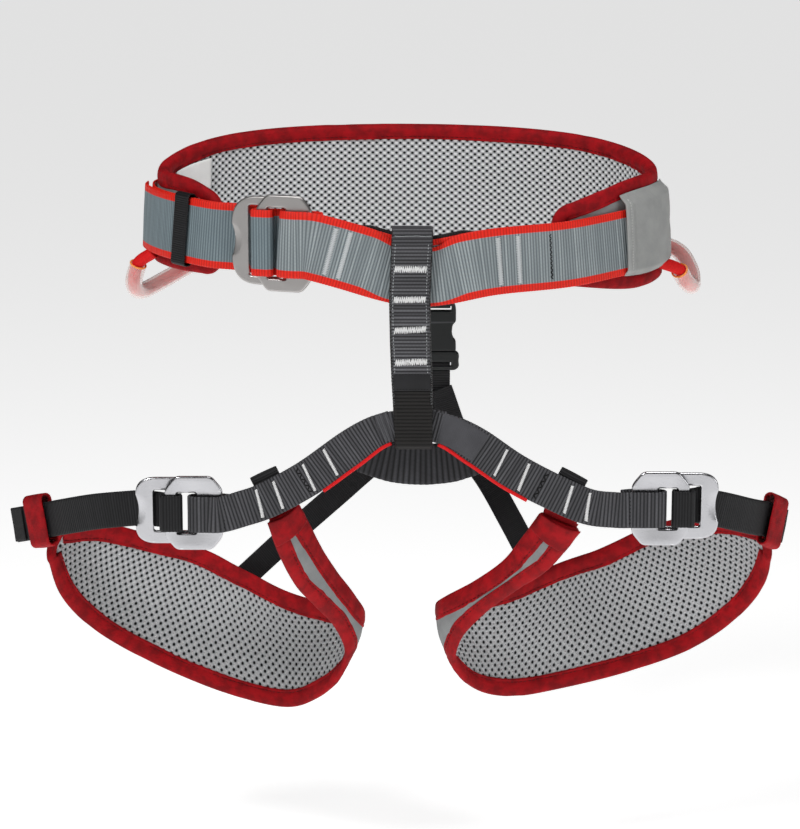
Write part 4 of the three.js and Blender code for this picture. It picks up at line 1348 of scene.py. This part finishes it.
for key, b in BUCKLES.items():
    buckle = b["buckle"]
    half_window = b["webbing"] / 2 + 1
    rear = plate(
        f"{key}_rear_plate", rear_outline(b["rear"]), window_outline(*REAR_WINDOW, half_window), PLATE, 1.2,
        b["alloy"], buckle.matrix() @ Matrix.Translation((0, 0, REAR_DEPTH)), notch_shape)
    settle(rear, b["body"], "buckle_alloy", f"{key}_buckle_rear")
    front = plate(
        f"{key}_front_plate", front_outline(b["front"]), window_outline(*FRONT_WINDOW, half_window), PLATE, 1.2,
        b["alloy"], buckle.matrix(), front_shape)
    settle(front, f"{key}_buckle_plate", "buckle_alloy", f"{key}_buckle_front")
    roll = ribbon(f"{key}_free_bar_turn", buckle.frame(oval(-2.9, 11.1, 3.3)), b["webbing"] - 1, (-0.9, 0.9),
                  b["look"], b["pitch"], 0.16, loop=True)
    settle(roll, f"{key}_buckle_plate", b["slot"], f"{key}_strap_roll")
    if key != "waist":
        spots = buckle.world([(39.0 if n % 2 else 41.6, 2.5 * n - 10, 5.5) for n in range(9)])
        row = stitches(f"{key}_anchor_stitches", spots[:-1], spots[1:], buckle.axes[2], 0.62, "black_thread")
        settle(row, b["body"], "charcoal_webbing")


# ---------- waist strap, its tail and the keeper ----------

# The left strap runs back along the pad from the buckle; its tail stands off in a bow past the keeper
strap_route = Route([
    [-98, -81.2, -6], [-117, -74.8, -5], waist_spot(-132, -4, 5.4), waist_spot(-118, -2, 5.4),
    waist_spot(-103, -1, 5), waist_spot(-90, 0, 5), waist_spot(-80, 0, 5),
], lean=WAIST_FLARE)
tail_route = Route(buckle_pass("waist") + [
    [-117, -77.4, -5], waist_spot(-132, -4, 7.8), waist_spot(-118, -2, 7.8),
    waist_spot(-107, -1, 8.4), waist_spot(-96, 0, 10), waist_spot(-88, 0, 9.5),
], lean=WAIST_FLARE)
strap = ribbon("waist_strap_web", strap_route, WAIST_WEBBING - 1, (-0.8, 0.8), "tail", 2.5, 0.14)
settle(strap, "waist_belt", "waist_webbing", "waist_strap")
tail = ribbon(
    "waist_tail_web", tail_route, WAIST_WEBBING - 1, (-0.75, 0.8), "tail", 2.5, 0.16, sway=0.25, seed=36)
settle(tail, "waist_belt", "waist_webbing", "waist_tail")

KEEPER_MIDDLE = 60.5
collar = collar_frame(strap_route, KEEPER_MIDDLE, (-1.6, 4.8), (-24.2, 24.2), 2.4)
keeper = ribbon(
    "waist_elastic_keeper", collar, 13.5, (-0.45, 0.45), "elastic", 1.3, 0.12, loop=True, samples=4)
settle(keeper, "strap_keeper", "black_webbing", "waist_keeper")


# ---------- belay loop ----------

BELAY_CORNER = 4.4
HALF_WALL = BELAY_WALL / 2
belay_path = oblong(
    BELAY_FRONT + HALF_WALL, BELAY_BACK - HALF_WALL, BELAY_BOTTOM + HALF_WALL, BELAY_TOP - HALF_WALL,
    BELAY_CORNER - 1)
BELAY_LEAN = ((-142, -100, -70, -40, 3), (-0.4, -1.6, -2.8, -3.4, -1.6))
BELAY_TAPER = ((-142, -95), (0.9, 1.0))


def hang(piece):
    """The loop hangs a little to one side and is squeezed narrower at its lower end."""
    mesh = piece.data
    spots = np.empty(len(mesh.vertices) * 3, np.float32)
    mesh.vertices.foreach_get("co", spots)
    spots = spots.reshape(-1, 3)
    z = spots[:, 2] / MM
    from_middle = spots[:, 0] - BELAY_X * MM
    spots[:, 0] = (BELAY_X + np.interp(z, *BELAY_LEAN)) * MM + from_middle * np.interp(z, *BELAY_TAPER)
    mesh.vertices.foreach_set("co", spots.ravel())
    mesh.update()
    return piece


BELAY_AXES = ([0, 1, 0], [0, 0, 1], [1, 0, 0])
loop = ribbon(
    "belay_loop_webbing", plane_frame([BELAY_X, 0, 0], *BELAY_AXES, belay_path), BELAY_WIDTH - 0.5,
    (-HALF_WALL, HALF_WALL - 0.3), "belay_dark", 2.4, 0.14, loop=True, sway=0.15, seed=51)
settle(hang(loop), "belay", "charcoal_webbing", "belay_loop")

# A second layer lies on the front strand, from over the top down to the label
OVERLAY_END = -92.3
front_out, top_out = BELAY_FRONT - 0.15, BELAY_TOP + 0.1
overlay_path = np.concatenate([
    [[front_out + 0.4, OVERLAY_END], [front_out, OVERLAY_END + 3]],
    [[front_out, z] for z in range(-88, 0, 4)],
    oblong(front_out, BELAY_BACK, -50, top_out, BELAY_CORNER)[8:16],
    [[BELAY_FRONT + 9, top_out]],
])
overlay = ribbon(
    "belay_loop_front_layer", plane_frame([BELAY_X, 0, 0], *BELAY_AXES, overlay_path, closed=False),
    lambda s: BELAY_WIDTH - 2.6 + 1.2 * smooth(s, 60, 104) + 0.5 * wander(s, 0, 52, 9), (-0.4, 1.15), "belay",
    2.4, 0.26, sway=0.16, seed=53)
settle(hang(overlay), "belay", "charcoal_webbing")


def on_belay(x, z, out=1.3):
    """Spots on the face of the front strand."""
    x, z = np.broadcast_arrays(np.asarray(x, float), np.asarray(z, float))
    return np.stack([BELAY_X + x, np.full(x.shape, front_out - out), z], -1)


FORWARD = [0, -1, 0]
BACKWARD = [0, 1, 0]


def sewn_on_belay(name, starts, ends, radius, look, slot="charcoal_webbing"):
    settle(hang(stitches(name, starts, ends, FORWARD, radius, look)), "belay", slot)


rng = np.random.default_rng(7)
rows = []
for z in (-20.4, -40.4, -60.5, -81.9):
    for high in (0.0, 0.35):
        place = lambda x, y: on_belay(y, z + x * (1 + high * 0.2) + high + 0.035 * y * (z % 3 - 1))
        rows.append(zigzag(place, -10.3, 10.2, 3.9, 0.62))
starts, ends = gathered(rows)
starts = starts + rng.normal(0, 0.16, starts.shape) * [1, 0.3, 1]
ends = ends + rng.normal(0, 0.16, ends.shape) * [1, 0.3, 1]
sewn_on_belay("belay_bar_tacks", starts, ends, 0.3, "white_thread")

# Loose light stitches run down both sides, and a pale line crosses the top
z = np.arange(-89, -4, 2.1)
rows = []
for x, size in ((-10.9, 1.1), (10.6, 0.7)):
    wave = x + 0.35 * wander(z, x, 55, 11)
    far = on_belay(wave + rng.normal(0, 0.12, len(z)), z + size + rng.uniform(0, 0.5, len(z)), 1.15)
    rows.append((on_belay(wave, z, 1.15), far))
x = np.arange(-11.6, 11.6, 1.1)
rows.append((on_belay(x, 1.5 + 0.25 * wander(x, 1, 56, 3), 1.2),
             on_belay(x + 1.0, 1.7 + 0.25 * wander(x + 1, 1, 56, 3), 1.2)))
sewn_on_belay("belay_side_stitches", *gathered(rows), 0.24, "grey_thread")

# Fine fibres stand out along the worn edges of the loop
z = np.repeat(np.arange(-110, 2, 1.05), 2)
side = np.where(np.arange(len(z)) % 2, 1.0, -1.0)
near = BELAY_WIDTH / 2 - 1.9
root = on_belay(side * (near + rng.uniform(0, 0.5, len(z))), z + rng.uniform(-0.5, 0.5, len(z)), 0.25)
tip = on_belay(side * (near + rng.uniform(1.0, 1.6, len(z))), z + rng.uniform(-0.9, 0.9, len(z)), 0.1)
sewn_on_belay("belay_edge_weave", root, tip, 0.2, "fuzz_thread")


LABEL_WIDTH = BELAY_WIDTH - 3.2
LABEL_HEIGHT = 12.2


def belay_label_place(x, y, lift):
    across, down = (x - 0.5) * LABEL_WIDTH, -101 + LABEL_HEIGHT * y
    bow = 0.5 * np.sin(math.pi * np.clip(y, 0, 1)) + 0.12 * wander(across, down, 57, 6)
    across, down, lift = np.broadcast_arrays(across, down, lift + bow)
    points = np.stack([BELAY_X + across, front_out - lift, down], -1)
    return points, np.stack([across, down], -1)


label = slab("belay_blank_label", belay_label_place, "black_label", 24, 16, (0.1, 0.75))
settle(hang(label), "belay", "label", "belay_label")
x = np.arange(-10.6, 10.6, 2.0)
rows = gathered([(on_belay(x, z, 0.95), on_belay(x + 1.3, z, 0.95)) for z in (-90.0, -99.9)])
sewn_on_belay("belay_label_stitches", *rows, 0.2, "black_thread", "label")


# ---------- bridge between the legs ----------

bridge_route = Route([[22, -109, -126.5], [10, -109.8, -124.5], [-10, -109.8, -125.5], [-22, -108.8, -129]])
settle(ribbon("bridge_webbing", bridge_route, 19, (-0.8, 0.8), "charcoal", 2.4, 0.14), "waist_belt",
       "charcoal_webbing", "bridge_band")
rear_route = Route([
    [52, -88, -150], [30, -90.5, -155], [9, -91.5, -156.5], [-14, -92.5, -155], [-34, -94, -150]])


def rear_width(s):
    return 21.5 + 7 * np.sin(math.pi * np.clip(s / rear_route.length, 0, 1)) + 0.4 * wander(s, 2, 58, 6)


rear = ribbon(
    "bridge_rear_webbing", rear_route, rear_width, (-1.0, 1.0), "rear", 3.7, 0.42, sway=0.3, seed=59)
settle(rear, "waist_belt", "black_webbing", "bridge_rear")


# ---------- rear riser ----------

RECEIVER_TOP = -81
RECEIVER_BOTTOM = -118
PLUG_TOP = -118.6
TAB_TOP = -132.9
UPRIGHT = Matrix(((1, 0, 0, RISER_X), (0, 0, -1, RISER_Y), (0, 1, 0, 0), (0, 0, 0, 1)))


def block(name, outline, window, thick, depth, bevel=1.0):
    """A moulded piece: an outline in x and z, that thick, centred at a depth behind the buckle's middle."""
    return plate(name, outline, window, thick, bevel, "plastic", UPRIGHT @ Matrix.Translation((0, 0, depth)))


receiver_edge = rounded([
    (-14.5, RECEIVER_TOP), (14.5, RECEIVER_TOP), (16.5, -86), (16.5, -96), (14.0, -98.5), (13.4, -104),
    (14.2, -108.5), (16.4, -111), (16.5, RECEIVER_BOTTOM), (-16.5, RECEIVER_BOTTOM), (-16.4, -111),
    (-14.2, -108.5), (-13.4, -104), (-14.0, -98.5), (-16.5, -96), (-16.5, -86)], 1.6)
bar_slot = rounded([(-13.2, -84.4), (-13.2, -88.4), (13.2, -88.4), (13.2, -84.4)], 0.8)
top_edge = rounded([
    (-14.4, RECEIVER_TOP - 0.1), (14.4, RECEIVER_TOP - 0.1), (16.2, -86), (16.2, -91.4), (-16.2, -91.4),
    (-16.2, -86)], 1.4)
receiver = [
    block("receiver_front", receiver_edge, bar_slot, 2.2, 3.9),
    block("receiver_back", receiver_edge, bar_slot, 2.2, -3.9),
    block("receiver_top", top_edge, bar_slot, 5.9, 0, 0.5)]
for x in (-15.3, 15.3):
    wall = rounded([(x - 1.1, -111.4), (x + 1.1, -111.4), (x + 1.1, -117.8), (x - 1.1, -117.8)], 0.5)
    receiver.append(block(f"receiver_wall_{x > 0}", wall, None, 5.9, 0, 0.3))
for n in range(4):
    low = -95.4 - n * 3.4
    rib = rounded([(-8 + n, low), (8 - n, low), (8 - n, low - 1.3), (-8 + n, low - 1.3)], 0.5)
    receiver.append(block(f"receiver_rib_{n}", rib, None, 1.4, -4.7, 0.5))
settle(join("riser_buckle_receiver", receiver), "riser_upper", "black_plastic", "riser_receiver")

plug_edge = rounded([
    (-16.5, PLUG_TOP), (16.5, PLUG_TOP), (19, -121), (18.4, -125.5), (19, -130), (16, -132.6), (-16, -132.6),
    (-19, -130), (-18.4, -125.5), (-19, -121)], 2.0)
tab_slot = rounded([(-13, -126.6), (-13, -130.0), (13, -130.0), (13, -126.6)], 0.8)
TONGUE = (PLUG_TOP - 1, PLUG_TOP + 18.8)
tongue = rounded([(-2.5, TONGUE[0]), (-2.5, TONGUE[1]), (2.5, TONGUE[1]), (2.5, TONGUE[0])], 0.8)
plug = [block("plug_base", plug_edge, tab_slot, 8.8, 0, 1.4), block("plug_tongue", tongue, None, 3.8, 0, 0.7)]
settle(join("riser_buckle_plug", plug), "waist_belt", "black_plastic", "riser_plug")
for way, side in ((-1, "left"), (1, "right")):
    arm = [(8, 0.5), (12, 0.5), (12, 9), (13.6, 12), (12, 19), (9.5, 19), (8, 8)]
    arm = rounded([(way * x, PLUG_TOP + y) for x, y in (arm if way > 0 else arm[::-1])], 0.9)
    settle(block(f"riser_buckle_prong_{side}", arm, None, 3.8, 0, 0.7), f"prong_{side}", "black_plastic",
           f"riser_prong_{side}")

riser_route = Route([
    [RISER_X, 108.5, -28], [RISER_X, 110.5, -52], [RISER_X, RISER_Y + 5.6, -74],
    [RISER_X, RISER_Y + 4, -77.5],
], out=BACKWARD)
strap = ribbon("riser_strap_webbing", riser_route, 24.6, (-0.8, 0.8), "dark", 1.9, 0.12)
settle(strap, "waist_belt", "black_webbing", "riser_strap",
       bend=("riser_upper", (RISER_X, 109, -45), (RISER_X, 120, -76.5)))
turn = plane_frame([RISER_X, RISER_Y, RECEIVER_TOP - 1.8], *BELAY_AXES, oblong(-5.9, 5.9, -2.7, 2.7, 1.9))
eye = ribbon("riser_strap_turn", turn, 24.6, (-0.5, 0.5), "dark", 1.9, 0.1, loop=True)
settle(eye, "riser_upper", "black_webbing", "riser_strap_eye")
turn = plane_frame([RISER_X, RISER_Y, 0], *BELAY_AXES, oblong(-1.5, 1.5, TAB_TOP - 29.6, PLUG_TOP - 7.4, 1.4))
tab = ribbon("riser_tab_webbing", turn, 24.4, (-0.65, 0.65), "dark", 1.9, 0.12, loop=True)
settle(tab, "waist_belt", "black_webbing", "riser_tab")


def on_tab(x, z):
    x, z = np.broadcast_arrays(np.asarray(x, float), np.asarray(z, float))
    return np.stack([RISER_X + x, np.full(x.shape, RISER_Y + 2.35), z], -1)


rows = [zigzag(lambda x, y: on_tab(y, z + x), -9, 9, 2.4, 0.9) for z in (TAB_TOP - 4, TAB_TOP - 11)]
settle(stitches("riser_tab_stitches", *gathered(rows), BACKWARD, 0.28, "grey_thread"), "waist_belt",
       "black_webbing")

ELASTICS = {
    "left": [[RISER_X - 6, 112.6, -146], [-8, 108, -181], [-45, 95, -214], [-81, 76, -242], [-122, 55, -276]],
    "right": [[RISER_X + 5, 110.2, -146], [36, 108, -183], [57, 92, -211], [72, 70, -234], [84, 50, -253]],
}
for side, points in ELASTICS.items():
    route = Route(points, out=BACKWARD)
    strap = ribbon(
        f"elastic_strap_{side}", route, 17.6, (-0.65, 0.65), "elastic", 1.5, 0.1, sway=0.3, seed=60)
    bend = (f"{side}_leg", points[0], points[-1])
    settle(strap, "waist_belt", "black_webbing", f"elastic_{side}", bend=bend)


# ---------- gear loops ----------

GEAR = {
    "left": [[-176, -20, -24], [-187, -16, -32], [-191, -11, -44], [-191, 2, -53], [-187, 20, -57],
             [-176, 42, -54], [-154, 64, -44]],
    "right": [[170, -20, -31], [184, -14, -37], [190, -4, -47], [196, 12, -52], [196, 32, -43],
              [186, 50, -32], [154, 66, -27]],
}
GEAR_TUBE = 5.9
GEAR_CORD = 4.2
for side, points in GEAR.items():
    whole, sleeve_line = Line(points), Line(points[1:])
    body = f"gear_loop_{side}"
    cord_spots = whole.at(np.linspace(0, 1, 130))
    cord = tube(f"gear_cord_braided_{side}", cord_spots, GEAR_CORD, "cord", 20)
    settle(cord, body, "red_cord", f"gear_cord_{side}")
    clear = sleeve_line.at(np.linspace(0.02, 0.985, 90))
    shell = tube(f"gear_tube_clear_{side}", clear, GEAR_TUBE, "tube", 28)
    settle(shell, body, "clear_tube", f"gear_tube_{side}")
    rings = []
    for n, part in enumerate((0.02, 0.985)):
        centre = sleeve_line.at(np.array([part]))[0]
        way = unit(sleeve_line.at(np.array([part + 0.01]))[0] - sleeve_line.at(np.array([part - 0.01]))[0])
        one = unit(np.cross(way, [0, 0, 1.0]))
        other = np.cross(way, one)
        angle = np.linspace(0, 2 * math.pi, 40)
        hoop = centre + 5.4 * (one * np.cos(angle)[:, None] + other * np.sin(angle)[:, None])
        rings.append(tube(f"rim_{n}", hoop, 0.62, "rim", 10))
    settle(join(f"gear_tube_rims_{side}", rings), body, "clear_tube")


# ---------- leg straps ----------

BRIDGE_OVERLAP = {"left": [-12, -109.4, -126.0], "right": [12, -109.6, -126.0]}
# front and side are the CAD's strap routes; soft is the front webbing's own, up to its turn round the bar.
# collar and keeper are distances along the routes, and tacks, dark and piping are places in x.
LEGS = {
    "left": dict(
        hand=1,
        front=[[-26, -107.8, -132], [-44, -103.5, -145], [-70, -98, -165], [-97, -93.5, -180.5],
               [-118.9, -91.65, -188.05]],
        soft=[[-26, -107.8, -132], [-44, -103.8, -145], [-70, -98.4, -165], [-97, -94.4, -180.7],
              [-114, -93.2, -187]],
        side=[[-160, -76, -191], [-186, -75, -191], [-212, -67, -195], [-236, -49, -203], [-254, -28, -211],
              [-268, -12, -217], [-279, 2, -222]],
        collar=120, keeper=82, tacks=(-101.8, -89.2, -68.4, -53.9), dark=-72, piping=(-17, -66)),
    "right": dict(
        hand=-1,
        front=[[141.4, -91.5, -187.5], [117, -93, -186], [89, -94.5, -172], [67, -98, -159], [45, -104, -141],
               [26, -108, -128.5]],
        soft=[[137, -92.9, -187.9], [117, -93.4, -185], [89, -95, -172], [67, -98.4, -159],
              [45, -104.2, -142.5], [27, -108, -131]],
        side=[[262, -2, -222], [250, -20, -213], [234, -42, -205], [214, -61, -196], [196, -71, -190],
              [181, -75, -188]],
        collar=18, keeper=42, tacks=(59.3, 74.8, 105, 118), dark=86, piping=(20.5, 83)),
}
BLEND_REACH = 46
for key, leg in LEGS.items():
    body = f"{key}_leg"
    plain_front = Route(leg["front"])
    bridge_end = BRIDGE_OVERLAP[key]
    front = Route([bridge_end] + leg["soft"] + bar_turn(key) if leg["hand"] > 0
                  else bar_turn(key)[::-1] + leg["soft"] + [bridge_end])
    bend = (body, bridge_end, (bridge_end[0] - leg["hand"] * BLEND_REACH, -100, -150))

    def front_width(s):
        """The webbing is squeezed where it passes through the belay loop."""
        return 20.5 + 4.2 * smooth(s if leg["hand"] > 0 else front.length - s, 0, 38)

    webbing = ribbon(f"{key}_front_web", front, front_width, (-1.0, 1.0), "charcoal", 2.4, 0.24, sway=0.3,
                     seed=71 + leg["hand"])
    settle(webbing, "waist_belt", "charcoal_webbing", f"{key}_front_webbing", f"{key}_anchor_loop", bend=bend)

    tacks(f"{key}_bar_tacks", front, [front.where_x(x) for x in leg["tacks"]], 9.6, 2.3, 0.5, 0.38, 1.15,
          "white_thread", "waist_belt", slant=-0.16 * leg["hand"], bend=bend)
    tacks(f"{key}_dark_tacks", front, [front.where_x(leg["dark"])], 9.5, 2.6, 2.2, 0.5, 1.2, "black_thread",
          body)

    if key == "right":
        patch = ribbon("right_twill_patch", front, 20.4, (0.9, 1.7), "twill", 1.3, 0.05,
                       reach=(front.where_x(45), front.where_x(19)), sway=0.25, seed=81)
        settle(patch, "waist_belt", "charcoal_webbing", bend=bend)

    s = np.linspace(*sorted(front.where_x(x) for x in leg["piping"]), 70)
    piping = tube(f"{key}_red_piping", front.spot(s, 0.5, -front_width(s) / 2 - 0.5), 1.25, "piping", 12)
    settle(piping, "waist_belt", "binding_tape", bend=bend)

    collar = collar_frame(plain_front, leg["keeper"], (-3.9, -1.7), (-11.5, 17.8), 1.05)
    keeper = ribbon(f"{key}_strap_keeper_loop", collar, 19.6, (-0.45, 0.45), "dark", 1.9, 0.14, loop=True,
                    sway=0.35, seed=75)
    settle(keeper, body, "charcoal_webbing", f"{key}_keeper")

    side_line = Route(leg["side"])
    outer = buckle_pass(key)
    side = Route(outer + leg["side"][1:] if leg["hand"] > 0 else leg["side"][:-1] + outer[::-1])
    strap = ribbon(f"{key}_side_web", side, LEG_WEBBING - 1.4, (-0.95, 0.95), "dark", 1.9, 0.12, sway=0.35,
                   seed=77)
    settle(strap, body, "black_webbing", f"{key}_side_webbing")
    fold = (side.length - 15, side.length - 0.5) if leg["hand"] > 0 else (0.5, 13)
    strap_end = ribbon(f"{key}_folded_strap_end", side, LEG_WEBBING - 2, (1.0, 2.5), "elastic", 1.5, 0.12,
                       reach=fold, sway=0.3, seed=78)
    settle(strap_end, body, "black_webbing")
    collar = collar_frame(side_line, leg["collar"], (-3.6, 3.6), (-17.6, 17.6), 3.4)
    end_loop = ribbon(f"{key}_crimson_end_loop", collar, 23, (-0.65, 0.65), "binding", 1.4, 0.1, loop=True,
                      sway=0.8, seed=79, samples=4)
    settle(end_loop, body, "binding_tape", f"{key}_end_loop")

    # a short crimson link ties the loop to the pad's outer corner
    pad = PADS[key]
    loop_foot = side_line.spot(leg["collar"], -1.2, -14)
    corner = pad.place(9, -pad.half_at(9) + 9, COVER + 1.8)
    sideways = side_line.frame(np.array([float(leg["collar"])]))[1][0]
    outward = unit(np.cross(corner - loop_foot, sideways))

    def link_place(x, y, lift):
        x, y, lift = np.broadcast_arrays(x, y, lift)
        middle = loop_foot + (corner - loop_foot) * x[..., None]
        half = 8.2 + 0.5 * wander(x * 20, 3, 85, 6)
        swell = lift + 0.4 * wander(x * 20, y * 16, 84, 6)
        points = middle + sideways * ((y * 2 - 1) * half)[..., None] + outward * swell[..., None]
        return points, np.stack([x * 20, y * 16], -1)

    settle(slab(f"{key}_corner_link", link_place, "binding", 14, 14, (-0.7, 0.9)), body, "binding_tape")

    # the pad's upper end is a folded crimson tab, box-stitched, drawn as its two faces without the stitches
    tab = (pad.length - 19, pad.length - 0.3)

    def tab_place(x, y, lift):
        s = tab[0] + (tab[1] - tab[0]) * x
        t = (y * 2 - 1) * (pad.half_at(s) - 1.8)
        s, t, lift = np.broadcast_arrays(s, t, lift)
        bow = 0.5 * np.sin(math.pi * np.clip(y, 0, 1)) + 0.35 * wander(s, t, 83, 7)
        return pad.place(s, t, lift + bow * np.sign(lift)), np.stack([s, t], -1)

    faces = {"front": (COVER + 0.8, COVER + 2.0), "back": (-LEG_LINING - 2.2, -LEG_LINING - 1.0)}
    for face, lifts in faces.items():
        piece = slab(f"{key}_strap_tab_{face}", tab_place, "binding", 24, 22, lifts)
        settle(piece, body, "binding_tape")

    # it runs on up behind the front webbing, where the keeper holds it
    last = pad.length - 3
    edges = pad.place(np.full(2, last), np.array([-1, 1]) * (pad.half_at(last) - 2.2), 0)
    high_along = plain_front.frame(np.array([float(leg["keeper"])]))[1][0]
    high_middle = plain_front.spot(leg["keeper"], -5.2, 3)
    low_middle, low_across = edges.mean(0), (edges[0] - edges[1]) / 2
    high_across = high_along * 10.2 * np.sign(high_along @ low_across)
    facing = unit(np.cross(high_middle - low_middle, low_across))
    facing = facing * -np.sign(facing[1])

    def tip_place(x, y, lift):
        x, y, lift = np.broadcast_arrays(x, y, lift)
        across = low_across + (high_across - low_across) * x[..., None]
        swell = lift + 0.35 * wander(x * 24, y * 20, 86, 8) - 2.2 * x * (1 - x)
        points = (low_middle + (high_middle - low_middle) * x[..., None] + across * (y * 2 - 1)[..., None]
                  + facing * swell[..., None])
        return points, np.stack([x * 24, y * 22], -1)

    settle(slab(f"{key}_strap_tip", tip_place, "binding", 20, 18, (-1.2, 1.2)), body, "binding_tape")


# ---------- floor ---------------------------

FLOOR_SIZE = 40
FLOOR_LEVEL = -0.5
floor_mesh = bpy.data.meshes.new("floor")
floor_corners = [(x * FLOOR_SIZE, y * FLOOR_SIZE, FLOOR_LEVEL) for x, y in ((-1, -1), (1, -1), (1, 1), (-1, 1))]
floor_mesh.from_pydata(floor_corners, [], [(0, 1, 2, 3)])
floor_look = Shader("floor")
floor_look.set(
    Base_Color=(0.82, 0.82, 0.82, 1), Roughness=0.95, Emission_Color=(1, 1, 1, 1), Emission_Strength=0.72)
floor_mesh.materials.append(floor_look.material)
floor = bpy.data.objects.new("floor", floor_mesh)
bpy.context.scene.collection.objects.link(floor)
